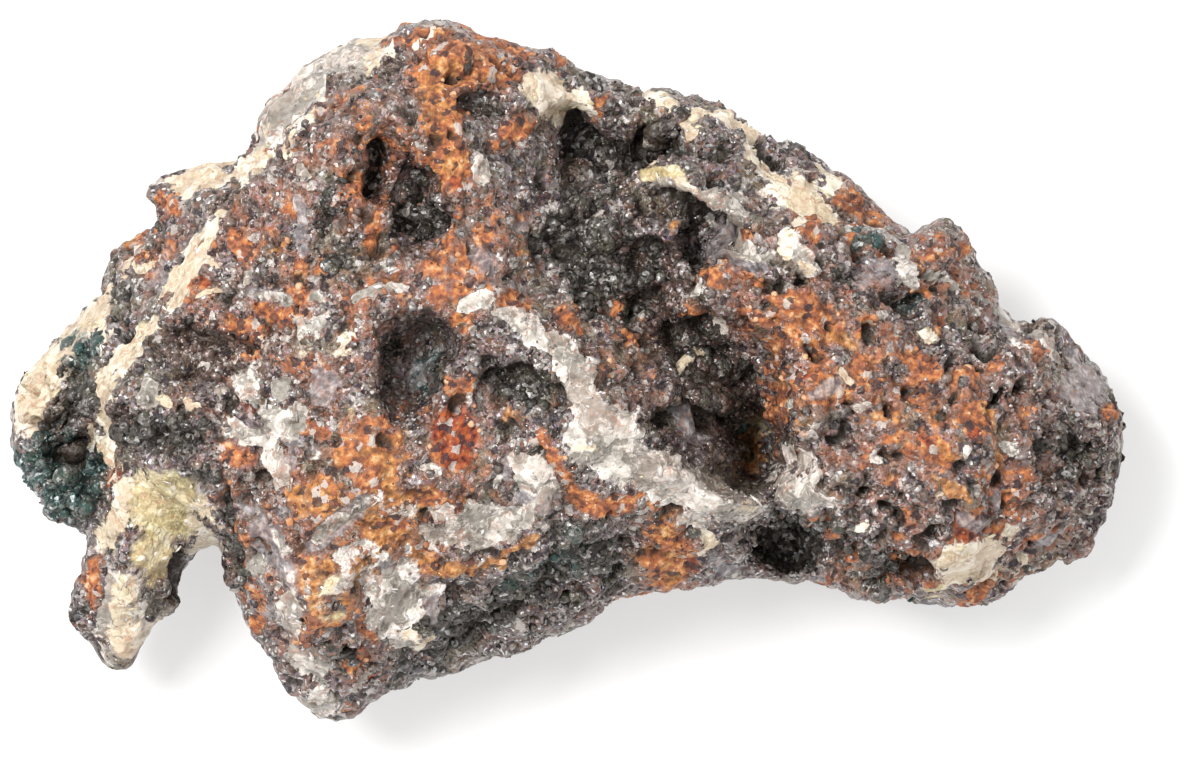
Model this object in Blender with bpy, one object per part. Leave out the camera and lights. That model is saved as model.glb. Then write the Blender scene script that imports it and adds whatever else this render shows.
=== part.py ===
"""Goethite hand specimen: one lump of dark iron ore grown together with quartz and calcite.

The lump lies on its broad underside. X runs along its length, Y towards its back, Z up.
Every length below is in millimetres and becomes metres where the mesh is filled in.
"""

import math

import bmesh
import bpy
import numpy as np

MM = 0.001

# Grid of the lump: rings along its length, columns over the top and under the base
RINGS = 90
TOP_COLUMNS = 34
BASE_COLUMNS = 22

# How far in from the outline the top and the base round over, and where columns bunch
TOP_RIM = 3.5
BASE_RIM = 7.0
RIM_SHARE = 0.18
RIM_REACH = 0.2
SPOT_SOFTNESS = 1.8

# Broken and botryoidal surface: wavelength and height of each layer
ROUGHNESS = (
    (9.0, 1.3),
    (4.6, 0.9),
    (2.6, 0.5),
)

# Share of the roughness that stays at the outline itself, and how far in it reaches its full height
EDGE_ROUGHNESS = 0.35
EDGE_REACH = 1.6

# Slender places, where the roughness is lower: x, y, reach, share taken off
SLENDER = (
    (-31.5, -17.0, 8.0, 0.75),
    (-29.5, 13.0, 4.0, 0.7),
)

# Levelling of the upper surface inside its rim
LEVEL_INSET = 2.0
LEVEL_PASSES = 2

# Half spacing of the points over which pits, creases and lumps are averaged, as the grid is coarse
FEATURE_BLUR = 0.7

# Lines across the lump from its front outline to its back outline:
# front x, front y, back x, back y, and how far the line bows to the right halfway
STATIONS = (
    # far-left lobe
    (-40.0, -5.0, -40.0, -5.0, 0.0),
    (-39.8, -6.0, -39.9, -3.9, 0.0),
    (-39.1, -7.5, -39.6, -2.2, 0.0),
    (-38.0, -8.6, -38.9, -0.6, 0.0),
    (-37.3, -9.9, -38.0, 0.6, 0.0),
    (-36.2, -10.9, -36.9, 2.2, 0.0),
    (-34.9, -11.1, -35.6, 3.6, 0.0),
    (-34.1, -11.5, -34.5, 4.9, 0.2),
    # leg
    (-34.0, -12.7, -33.9, 5.8, 0.5),
    (-34.0, -14.3, -33.4, 6.7, 1.0),
    (-33.9, -16.0, -32.9, 7.8, 1.3),
    (-33.7, -18.0, -32.3, 8.8, 1.5),
    (-33.2, -19.9, -31.5, 9.2, 1.5),
    (-32.4, -20.8, -30.8, 9.6, 1.3),
    (-31.2, -21.0, -30.1, 10.0, 1.1),
    (-30.3, -20.0, -29.6, 10.3, 0.8),
    (-29.7, -18.5, -29.2, 10.8, 0.5),
    (-28.7, -17.4, -28.8, 11.6, 0.2),
    (-27.5, -16.6, -28.4, 12.6, 0.0),
    (-27.1, -15.2, -27.9, 13.5, -0.2),
    (-26.8, -13.8, -27.0, 14.3, -0.3),
    (-26.0, -12.8, -26.0, 14.8, -0.3),
    # notch and left flank of the main mass
    (-25.0, -12.5, -25.0, 15.1, 0.0),
    (-24.5, -13.4, -24.2, 15.3, 0.3),
    (-24.2, -14.8, -23.6, 15.7, 0.5),
    (-23.4, -16.0, -23.0, 16.2, 0.5),
    (-22.7, -17.6, -22.4, 17.0, 0.5),
    (-21.9, -19.2, -21.9, 18.1, 0.5),
    (-21.2, -20.5, -21.4, 19.1, 0.4),
    (-20.7, -21.8, -20.7, 20.1, 0.3),
    (-19.7, -22.9, -19.7, 21.0, 0.1),
    (-18.8, -24.0, -18.8, 22.0, 0.0),
    # front corner and peak
    (-17.7, -24.9, -17.4, 22.7, 0.0),
    (-16.4, -25.05, -16.2, 23.5, 0.0),
    (-15.2, -24.8, -14.9, 24.0, 0.0),
    (-14.1, -23.9, -13.4, 24.1, 0.0),
    (-12.9, -23.0, -11.8, 24.7, 0.0),
    (-10.8, -22.3, -10.0, 25.05, 0.0),
    (-8.3, -21.7, -8.1, 25.0, 0.0),
    (-6.2, -21.0, -6.6, 24.2, 0.0),
    (-4.3, -20.4, -5.0, 23.5, 0.0),
    (-2.4, -19.7, -3.0, 23.4, 0.0),
    (-0.8, -18.9, -0.8, 23.1, 0.0),
    (1.0, -18.1, 0.3, 22.3, 0.0),
    (2.3, -17.2, 1.2, 21.6, 0.0),
    (3.1, -16.4, 2.6, 21.1, 0.0),
    (4.6, -16.0, 4.3, 20.6, 0.0),
    # waist
    (7.6, -15.8, 5.7, 20.05, 0.0),
    (9.5, -15.4, 6.9, 20.6, 0.0),
    (11.8, -14.9, 8.4, 19.9, 0.0),
    (13.6, -14.75, 10.2, 19.6, 0.0),
    (15.0, -15.1, 11.5, 19.1, 0.0),
    (16.4, -15.2, 12.3, 18.1, 0.0),
    (18.0, -14.85, 14.0, 17.5, 0.0),
    (19.4, -15.3, 15.6, 16.5, 0.0),
    (20.4, -16.0, 17.4, 15.6, 0.0),
    (21.4, -16.2, 18.7, 14.8, 0.0),
    (22.6, -16.4, 20.5, 13.4, 0.0),
    (23.7, -16.5, 22.1, 12.0, 0.0),
    (24.8, -16.5, 23.9, 10.4, 0.0),
    (25.8, -16.6, 25.0, 10.0, 0.0),
    (26.8, -16.7, 26.2, 10.4, 0.0),
    # right mass
    (27.8, -16.9, 27.1, 11.0, 0.0),
    (28.8, -17.0, 28.3, 10.3, 0.0),
    (29.6, -17.0, 29.0, 9.2, 0.0),
    (30.3, -16.95, 29.3, 8.0, 0.0),
    (30.8, -16.7, 30.2, 7.2, 0.0),
    (31.2, -16.0, 30.75, 5.8, 0.0),
    (31.8, -15.4, 31.0, 4.6, 0.0),
    (32.6, -14.9, 32.3, 3.6, 0.0),
    (33.6, -14.4, 33.3, 3.4, 0.0),
    (34.6, -13.9, 34.3, 4.0, 0.0),
    (35.4, -13.5, 35.4, 3.1, 0.0),
    (36.4, -13.75, 36.6, 2.1, 0.0),
    (37.6, -13.3, 37.5, 1.0, 0.0),
    (38.2, -12.3, 38.1, 0.2, 0.0),
    (38.75, -11.0, 38.6, -0.5, 0.0),
    (39.1, -9.7, 39.1, -1.3, 0.0),
    (39.35, -8.3, 39.4, -2.1, 0.0),
    (39.6, -7.0, 39.7, -3.0, 0.0),
    (39.85, -6.0, 39.9, -4.0, 0.0),
    (40.0, -5.0, 40.0, -5.0, 0.0),
)

# Bulges of the outline: middle x, middle y, reach, pull along x, pull along y
BULGES = (
    # spike at the back left
    (-28.6, 12.9, 3.0, -1.6, 0.1),
    # knob on the leg
    (-34.2, -17.4, 3.6, -1.9, -0.1),
)

# Heights of the upper surface before its pits and ridges: x, y, z
TOP_HEIGHTS = (
    # plateau left of the valley
    (-20.0, 10.0, 30.0), (-15.0, 6.0, 31.5), (-22.0, 3.0, 30.0), (-27.0, 3.0, 28.0),
    (-25.0, -1.0, 29.0), (-18.0, -1.0, 31.5), (-12.0, 5.5, 32.5), (-8.0, 8.0, 32.5),
    (-5.0, 11.0, 30.5), (-3.0, 6.0, 30.5), (-8.0, 17.5, 30.5), (-14.0, 14.0, 31.0),
    (-14.0, 19.0, 28.5), (-3.0, 15.0, 28.0),
    # back edge, left of the peak
    (-9.0, 23.0, 26.0), (-15.0, 22.0, 22.5), (-19.0, 17.3, 25.5), (-19.5, 20.5, 18.0),
    (-23.0, 16.0, 19.0), (-27.5, 13.0, 18.0), (-22.0, 12.0, 28.5), (-25.8, 9.0, 26.5),
    (-28.4, 5.0, 25.5), (-30.0, 8.5, 17.5),
    # far-left lobe
    (-31.5, 3.0, 21.0), (-34.0, 2.0, 17.0), (-37.0, 0.0, 15.0), (-38.5, -4.5, 14.5),
    (-36.3, -7.2, 17.5), (-33.2, -8.0, 18.5), (-31.4, -1.5, 26.0), (-33.6, -2.5, 18.0),
    (-34.6, -4.8, 15.0), (-30.0, -4.5, 27.0),
    # leg
    (-29.0, -8.5, 22.5), (-30.5, -12.0, 20.0), (-31.5, -16.0, 17.5), (-32.0, -19.5, 14.0),
    (-28.0, -14.5, 17.5), (-26.3, -10.5, 21.5),
    # front face
    (-24.0, -9.0, 27.0), (-23.0, -14.0, 23.5), (-20.0, -6.0, 30.5), (-16.0, -5.0, 32.0),
    (-10.0, -5.0, 32.0), (-5.0, -4.0, 31.0), (-18.0, -12.0, 28.5), (-11.0, -11.0, 29.5),
    (-6.5, -11.0, 29.0), (-3.0, -9.5, 29.0), (-19.0, -19.0, 22.0), (-15.0, -17.0, 25.5),
    (-10.5, -18.0, 23.5), (-17.0, -23.0, 17.0), (-13.5, -21.0, 19.5),
    # dark band under the front face
    (-8.5, -15.0, 25.0), (-4.0, -13.6, 25.0), (-7.0, -18.5, 18.0), (-3.0, -16.5, 19.0),
    (1.0, -15.0, 19.5), (2.0, -11.5, 25.0), (4.5, -13.5, 21.0),
    # quartz ridge
    (-3.5, 3.2, 30.8), (0.8, 0.0, 30.6), (3.0, -4.0, 31.0), (8.0, -7.0, 30.0),
    (12.3, -9.0, 28.5), (4.0, 1.6, 28.0), (9.5, -2.5, 28.0), (9.0, -4.6, 27.0),
    # valley
    (0.5, 16.5, 22.5), (5.0, 16.2, 21.5), (1.0, 12.0, 25.5), (4.0, 10.0, 25.5),
    (7.6, 8.0, 24.5), (5.0, 6.0, 24.5), (8.5, 3.0, 22.5), (10.0, 0.5, 21.5),
    (13.0, -2.0, 20.5), (13.2, -6.0, 17.5),
    # ledge beyond the valley
    (7.5, 13.5, 27.5), (11.5, 11.5, 27.5), (13.0, 8.0, 29.0), (11.0, 7.0, 28.5),
    (9.5, 5.0, 27.0), (14.5, 5.0, 29.0), (15.8, 1.0, 28.5), (16.0, -3.5, 28.0),
    (17.0, -8.5, 28.5),
    # back edge, right of the peak
    (-1.0, 20.5, 25.0), (3.0, 19.5, 22.5), (9.0, 18.3, 22.0), (14.5, 15.5, 21.5),
    (19.0, 13.0, 21.5), (17.0, 10.0, 26.0), (22.5, 10.0, 22.5), (27.0, 8.8, 21.0),
    (24.0, 6.0, 25.5), (29.5, 5.5, 19.0),
    # right mass
    (19.5, 4.0, 27.5), (22.0, 0.0, 27.5), (27.0, -2.0, 26.5), (20.0, -5.0, 28.0),
    (24.5, -8.0, 28.0), (28.5, -9.0, 27.0), (32.0, -4.0, 24.5), (31.0, 1.5, 23.0),
    (34.5, 1.8, 20.0), (37.3, -1.5, 18.5), (36.3, -6.0, 19.5), (38.0, -8.5, 17.0),
    (35.0, -10.5, 19.5), (37.0, -12.3, 13.5), (33.0, -12.5, 18.0), (29.0, -14.0, 21.5),
    (24.5, -13.0, 25.0), (20.5, -12.5, 25.0), (15.5, -12.5, 20.0), (9.5, -12.5, 24.0),
    (12.5, -11.3, 25.0), (7.0, -10.0, 27.5), (10.0, -14.5, 20.0),
)

# Heights of the underside; what falls below the floor is the flat it rests on: x, y, z
BASE_HEIGHTS = (
    # resting flat
    (-12.0, 4.0, -2.0), (-2.0, -4.0, -2.2), (6.0, 4.0, -2.2), (16.0, -3.0, -1.8),
    (-16.0, -7.0, -1.6), (-4.0, 12.0, -1.6),
    # rising underside towards the outline
    (-37.0, -3.0, 5.0), (-31.0, -17.0, 7.5), (-29.0, -6.0, 4.5), (-28.0, 9.0, 7.0),
    (-19.5, 18.0, 6.5), (-9.0, 22.0, 5.0), (4.0, 18.0, 5.5), (15.0, 13.0, 5.0),
    (26.0, 6.0, 5.5), (34.0, -2.0, 5.0), (37.0, -9.0, 6.5), (28.0, -13.0, 3.5),
    (15.0, -12.5, 4.0), (2.0, -14.5, 5.5), (-9.0, -18.0, 4.5), (-17.0, -22.0, 6.0),
    (-22.5, -12.0, 4.5),
)

# Pits: x, y, half length, half width, turn in degrees, depth
PITS = (
    # twin holes and the hole in the middle of the plateau
    (-13.0, 14.6, 2.3, 1.1, 85.0, 4.0),
    (-10.6, 12.3, 2.8, 1.4, 105.0, 5.0),
    (-11.1, 0.2, 3.2, 1.8, 82.0, 6.0),
    (-9.5, 2.5, 1.8, 1.2, 150.0, 3.5),
    # floor of the valley
    (13.4, -5.6, 3.0, 2.0, 100.0, 5.5),
    # hollow in the front edge
    (15.6, -12.4, 3.0, 2.3, 160.0, 5.0),
    # hollow in the right end
    (36.2, -6.2, 2.7, 2.1, 110.0, 3.5),
    # upper end of the valley
    (1.2, 16.6, 2.2, 1.4, 135.0, 3.0),
    (6.6, 16.6, 2.0, 1.2, 30.0, 3.0),
    (9.6, 8.6, 1.8, 1.0, 110.0, 3.5),
    # small pits
    (-6.0, 19.0, 1.3, 0.9, 0.0, 2.0),
    (24.1, 5.2, 1.6, 1.0, 10.0, 2.0),
    (24.6, -14.0, 1.7, 1.3, 150.0, 2.2),
    (-35.2, -5.2, 1.7, 1.4, 0.0, 2.5),
    (-4.5, -1.2, 1.8, 1.0, 160.0, 1.5),
)

# Crests and clefts: x, y of one end, x, y of the other, half width, rise (clefts below zero)
CREASES = (
    # quartz ridge
    (-6.0, 5.0, -1.0, 1.2, 2.2, 1.3),
    (-1.0, 1.2, 2.5, -3.0, 2.4, 1.3),
    (2.5, -3.0, 7.5, -6.3, 2.4, 1.2),
    (7.5, -6.3, 13.3, -9.2, 2.0, 1.0),
    # pale vein along the left face
    (-24.6, 11.0, -27.6, 4.6, 1.5, 0.9),
    (-27.6, 4.6, -32.6, -1.8, 1.5, 0.9),
    # lip of the ledge beyond the valley
    (7.2, 13.4, 12.8, 10.6, 2.0, 1.2),
    (7.8, 5.0, 13.2, 3.4, 2.2, 1.4),
    # lip over the dark band
    (-10.4, -19.4, -7.8, -14.6, 2.0, 1.2),
    (-7.8, -14.6, 2.6, -10.4, 2.0, 1.2),
    # crest down the front corner
    (-18.5, -11.0, -16.6, -23.5, 3.2, 1.6),
    # rib across the valley floor
    (5.4, 3.2, 10.8, -3.0, 1.8, 1.5),
    # cleft under the ledge
    (6.0, 12.4, 12.0, 9.4, 1.8, -3.2),
    # cleft under the rib
    (6.6, -3.4, 11.2, -3.7, 1.4, -1.6),
    # crack between the twin holes and the plateau
    (-15.0, 9.4, -11.0, 9.3, 1.5, -1.5),
)

# Rounded lumps of botryoidal ore: x, y, radius, rise
LUMPS = (
    # valley
    (3.8, 9.6, 2.6, 1.5),
    (7.7, 9.6, 1.9, 1.4),
    (4.8, 6.8, 1.7, 1.3),
    (0.8, 12.0, 1.8, 1.0),
    (7.0, 6.6, 1.4, 1.0),
    # plateau
    (-13.0, 4.1, 1.5, 1.1),
    (-10.4, 3.9, 1.1, 0.9),
    (-19.5, 8.0, 2.4, 0.8),
    (-22.5, 14.6, 1.2, 0.7),
    # far-left lobe
    (-34.2, -6.6, 1.3, 1.0),
    (-36.6, -8.4, 1.6, 1.0),
    (-38.6, -6.2, 1.5, 1.0),
    (-35.2, 1.0, 1.5, 1.0),
    (-31.2, 8.2, 1.7, 1.2),
    # leg
    (-34.9, -17.6, 1.6, 1.2),
    # back edge
    (7.0, 19.8, 1.5, 1.0),
    (27.1, 9.4, 1.8, 1.3),
    (34.4, 2.8, 1.5, 1.0),
)


def rails(along):
    """Front outline, middle and back outline of the lump at the given shares of its length."""
    table = np.array(STATIONS)
    front_steps = np.hypot(*np.diff(table[:, 0:2], axis=0).T)
    back_steps = np.hypot(*np.diff(table[:, 2:4], axis=0).T)
    travelled = np.concatenate([[0.0], np.cumsum((front_steps + back_steps) / 2)])
    columns = [np.interp(along * travelled[-1], travelled, table[:, k]) for k in range(5)]
    front = np.stack(columns[0:2], -1)
    back = np.stack(columns[2:4], -1)
    middle = (front + back) / 2
    middle[:, 0] += columns[4]
    return front, middle, back


def across(share):
    """Place between the front (-1) and back (1) outline, with columns bunched at the rims."""
    edge = np.minimum(share, 1 - share)
    rim = RIM_REACH * (1 - np.cos(np.pi / 2 * np.minimum(edge / RIM_SHARE, 1)))
    flat = RIM_REACH + (1 - RIM_REACH) * np.maximum(edge - RIM_SHARE, 0) / (0.5 - RIM_SHARE)
    inward = np.where(edge < RIM_SHARE, rim, flat)
    return np.where(share < 0.5, inward - 1, 1 - inward)


def plan_points(along, place):
    """Points in plan on a parabola through the front outline, the middle and the back outline."""
    front, middle, back = rails(along)
    w = place[:, None]
    return front * w * (w - 1) / 2 + middle * (1 - w * w) + back * w * (w + 1) / 2


def outline_distance(points):
    """Distance in plan from each point to the outline."""
    front, _, back = rails(np.linspace(0, 1, 241))
    nearest = np.full(len(points), 1e9)
    for line in (front, back):
        for start, end in zip(line[:-1], line[1:]):
            run = end - start
            share = np.clip((points - start) @ run / max(float(run @ run), 1e-12), 0, 1)
            gap = points - start - share[:, None] * run
            nearest = np.minimum(nearest, np.hypot(gap[:, 0], gap[:, 1]))
    return nearest


def bulged(points):
    """Points in plan after the spike and the knob are pulled out of the outline."""
    for x, y, reach, pull_x, pull_y in BULGES:
        far = ((points[:, 0] - x) ** 2 + (points[:, 1] - y) ** 2) / reach**2
        strength = np.clip(1 - far, 0, None) ** 2
        points = points + strength[:, None] * np.array([pull_x, pull_y])
    return points


def height_through(points, table):
    """Smooth surface that passes through every height of a table."""
    known = np.array(table)
    count = len(known)
    gap = np.hypot(known[:, None, 0] - known[None, :, 0], known[:, None, 1] - known[None, :, 1])
    matrix = np.zeros((count + 1, count + 1))
    matrix[:count, :count] = np.hypot(gap, SPOT_SOFTNESS)
    matrix[:count, count] = 1
    matrix[count, :count] = 1
    weights = np.linalg.solve(matrix, np.append(known[:, 2], 0.0))
    reach = np.hypot(points[:, None, 0] - known[None, :, 0], points[:, None, 1] - known[None, :, 1])
    return np.hypot(reach, SPOT_SOFTNESS) @ weights[:count] + weights[count]


def pits_creases_lumps(points):
    """Height that the pits, creases and lumps add to the upper surface."""
    x, y = points[:, 0], points[:, 1]
    rise = np.zeros(len(points))
    for mid_x, mid_y, half_length, half_width, turn, depth in PITS:
        c, s = math.cos(math.radians(turn)), math.sin(math.radians(turn))
        along = (c * (x - mid_x) + s * (y - mid_y)) / half_length
        aside = (c * (y - mid_y) - s * (x - mid_x)) / half_width
        rise -= depth * np.exp(-((along**2 + aside**2) ** 1.3))
    for x0, y0, x1, y1, half_width, height in CREASES:
        start = np.array([x0, y0])
        run = np.array([x1 - x0, y1 - y0])
        share = np.clip((points - start) @ run / float(run @ run), 0, 1)
        gap = points - start - share[:, None] * run
        rise += height * np.clip(1 - np.hypot(gap[:, 0], gap[:, 1]) / half_width, 0, None)
    for mid_x, mid_y, radius, height in LUMPS:
        far = ((x - mid_x) ** 2 + (y - mid_y) ** 2) / radius**2
        rise += height * np.sqrt(np.clip(1 - far, 0, None))
    return rise


def blurred_features(points):
    """Pits, creases and lumps averaged over nine places round each point."""
    total = np.zeros(len(points))
    for shift_x in (-FEATURE_BLUR, 0.0, FEATURE_BLUR):
        for shift_y in (-FEATURE_BLUR, 0.0, FEATURE_BLUR):
            total += pits_creases_lumps(points + np.array([shift_x, shift_y]))
    return total / 9


def rounded(distance, reach):
    """Quarter-circle rise from 0 at the outline to 1 at the given reach inside it."""
    return np.sqrt(np.clip(1 - (1 - np.minimum(distance / reach, 1)) ** 2, 0, 1))


def corner_value(i, j, k, seed):
    """Repeatable number from -1 to 1 for each corner of a unit lattice."""
    mixed = i.astype(np.uint32) * np.uint32(73856093) ^ j.astype(np.uint32) * np.uint32(19349663)
    mixed ^= k.astype(np.uint32) * np.uint32(83492791) ^ np.uint32(seed * 7919 + 13)
    mixed ^= mixed >> np.uint32(13)
    mixed *= np.uint32(1274126177)
    mixed ^= mixed >> np.uint32(16)
    return (mixed & np.uint32(0xFFFF)) / 32767.5 - 1


def noise(points, wavelength, seed):
    """Smooth random field of the given wavelength, from -1 to 1."""
    scaled = points / wavelength
    corner = np.floor(scaled).astype(np.int64)
    part = scaled - corner
    ease = part**3 * (part * (part * 6 - 15) + 10)
    total = np.zeros(len(points))
    for dx in (0, 1):
        for dy in (0, 1):
            for dz in (0, 1):
                weight = ease[:, 0] if dx else 1 - ease[:, 0]
                weight = weight * (ease[:, 1] if dy else 1 - ease[:, 1])
                weight = weight * (ease[:, 2] if dz else 1 - ease[:, 2])
                value = corner_value(corner[:, 0] + dx, corner[:, 1] + dy, corner[:, 2] + dz, seed)
                total += weight * value
    return total


def broken(points):
    """Roughness along the surface normal: creased layers, each finer than the one before."""
    total = np.zeros(len(points))
    for seed, (wavelength, height) in enumerate(ROUGHNESS):
        field = noise(points, wavelength, seed)
        total += height * (0.6 * field + 0.8 * (np.abs(field) - 0.3))
    for x, y, reach, share in SLENDER:
        far = ((points[:, 0] - x) ** 2 + (points[:, 1] - y) ** 2) / reach**2
        total *= 1 - share * np.clip(1 - far, 0, None) ** 0.5
    return total


def form(along, column):
    """Points of the lump for shares of its length and column numbers round it."""
    top = column <= TOP_COLUMNS
    under = (TOP_COLUMNS + BASE_COLUMNS - column) / BASE_COLUMNS
    share = np.where(top, column / TOP_COLUMNS, under)
    flat_plan = plan_points(along, across(share))
    distance = outline_distance(flat_plan)
    plan = bulged(flat_plan)
    upper = height_through(plan, TOP_HEIGHTS) + blurred_features(plan)
    lower = height_through(plan, BASE_HEIGHTS)
    middle = (upper + lower) / 2
    over = middle + (upper - middle) * rounded(distance, TOP_RIM)
    below = middle + (lower - middle) * rounded(distance, BASE_RIM)
    return np.column_stack([plan, np.where(top, over, below)]), distance


def vertex_array(mesh, name):
    """Coordinates or normals of a mesh as an array of rows."""
    flat = np.empty(len(mesh.vertices) * 3)
    if name == "co":
        mesh.vertices.foreach_get("co", flat)
    else:
        mesh.vertex_normals.foreach_get("vector", flat)
    return flat.reshape(-1, 3)


def face_outwards(mesh):
    """Turn every face of a closed mesh outwards."""
    work = bmesh.new()
    work.from_mesh(mesh)
    bmesh.ops.recalc_face_normals(work, faces=work.faces)
    work.to_mesh(mesh)
    work.free()


def even_out(mesh, chosen):
    """Level the steps of the coarse grid at the chosen vertices, in height only."""
    work = bmesh.new()
    work.from_mesh(mesh)
    work.verts.ensure_lookup_table()
    picked = [work.verts[int(k)] for k in np.flatnonzero(chosen)]
    for _ in range(LEVEL_PASSES):
        bmesh.ops.smooth_vert(work, verts=picked, factor=0.5, use_axis_z=True)
    work.to_mesh(mesh)
    work.free()


def clear_scene():
    """Remove the objects and collections of the open scene."""
    for item in list(bpy.data.objects):
        bpy.data.objects.remove(item, do_unlink=True)
    for group in list(bpy.data.collections):
        bpy.data.collections.remove(group)


def ore_material():
    """Dark, slightly metallic iron ore."""
    material = bpy.data.materials.new("goethite_ore")
    material.use_nodes = True
    shader = material.node_tree.nodes["Principled BSDF"]
    shader.inputs["Base Color"].default_value = (0.15, 0.11, 0.09, 1.0)
    shader.inputs["Roughness"].default_value = 0.55
    shader.inputs["Metallic"].default_value = 0.15
    return material


def build_goethite(group):
    """Shape the whole lump from one sphere with its poles at the left and right ends."""
    columns = TOP_COLUMNS + BASE_COLUMNS
    bpy.ops.mesh.primitive_uv_sphere_add(segments=columns, ring_count=RINGS, radius=1.0)
    rock = bpy.context.object
    rock.name = "goethite"
    mesh = rock.data
    mesh.name = "goethite"
    for holder in list(rock.users_collection):
        holder.objects.unlink(rock)
    group.objects.link(rock)

    sphere = vertex_array(mesh, "co")
    along = np.arccos(np.clip(sphere[:, 2], -1, 1)) / math.pi
    along = np.round(along * RINGS) / RINGS
    turn = np.arctan2(sphere[:, 1], sphere[:, 0]) / (2 * math.pi) % 1.0
    column = np.round(turn * columns) % columns
    points, distance = form(along, column)
    mesh.vertices.foreach_set("co", points.ravel())
    mesh.update()
    even_out(mesh, (column < TOP_COLUMNS) & (distance > LEVEL_INSET))
    face_outwards(mesh)

    points = vertex_array(mesh, "co")
    normals = vertex_array(mesh, "normal")
    strength = EDGE_ROUGHNESS + (1 - EDGE_ROUGHNESS) * rounded(distance, EDGE_REACH)
    points += normals * (broken(points) * strength)[:, None]
    points[:, :2] -= (points[:, :2].max(axis=0) + points[:, :2].min(axis=0)) / 2
    points[:, 2] = np.maximum(points[:, 2], 0.0)
    mesh.vertices.foreach_set("co", (points * MM).ravel())
    mesh.update()
    face_outwards(mesh)

    mesh.shade_smooth()
    mesh.set_sharp_from_angle(angle=math.radians(38))
    mesh.materials.append(ore_material())
    return rock


def main():
    """Build the specimen in a collection of its own."""
    clear_scene()
    group = bpy.data.collections.new("goethite")
    bpy.context.scene.collection.children.link(group)
    build_goethite(group)


main()
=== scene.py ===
"""Looks of a goethite hand specimen: dark iron ore grown together with quartz, calcite and rust.

Lengths are in millimetres, in the frame in which the stone was read from above: X to the right,
Y towards the back, Z up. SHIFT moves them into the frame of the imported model.
"""

import logging
import math
from dataclasses import dataclass, field
from enum import Enum
from itertools import product

import bpy
import numpy as np
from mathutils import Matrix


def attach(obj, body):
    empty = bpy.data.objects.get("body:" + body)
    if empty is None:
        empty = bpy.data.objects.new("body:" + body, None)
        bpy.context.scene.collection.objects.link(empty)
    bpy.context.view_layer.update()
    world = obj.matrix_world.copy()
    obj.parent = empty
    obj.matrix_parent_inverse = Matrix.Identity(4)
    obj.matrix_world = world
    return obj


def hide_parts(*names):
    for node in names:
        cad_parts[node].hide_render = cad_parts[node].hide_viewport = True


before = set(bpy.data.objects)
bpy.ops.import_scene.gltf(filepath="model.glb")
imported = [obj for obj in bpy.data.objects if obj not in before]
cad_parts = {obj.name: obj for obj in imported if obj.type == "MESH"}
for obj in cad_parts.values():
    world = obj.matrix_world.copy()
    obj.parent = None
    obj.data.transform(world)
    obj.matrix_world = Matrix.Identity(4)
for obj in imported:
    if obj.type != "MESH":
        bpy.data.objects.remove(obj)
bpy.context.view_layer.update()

LOG = logging.getLogger("goethite")
MM = 0.001
SHIFT = (0.445, -0.193, 0)

# Kinds of values: stops along a row of colours, layers of noise (wavelength and height), a place in
# plan, and what may feed a node
Colour = tuple[float, float, float]
Shades = tuple[tuple[float, Colour], ...]
Layers = tuple[tuple[float, float], ...]
Place = tuple[float, float] | np.ndarray
Socket = bpy.types.NodeSocket
Number = Socket | float
Tint = Socket | Colour

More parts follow.
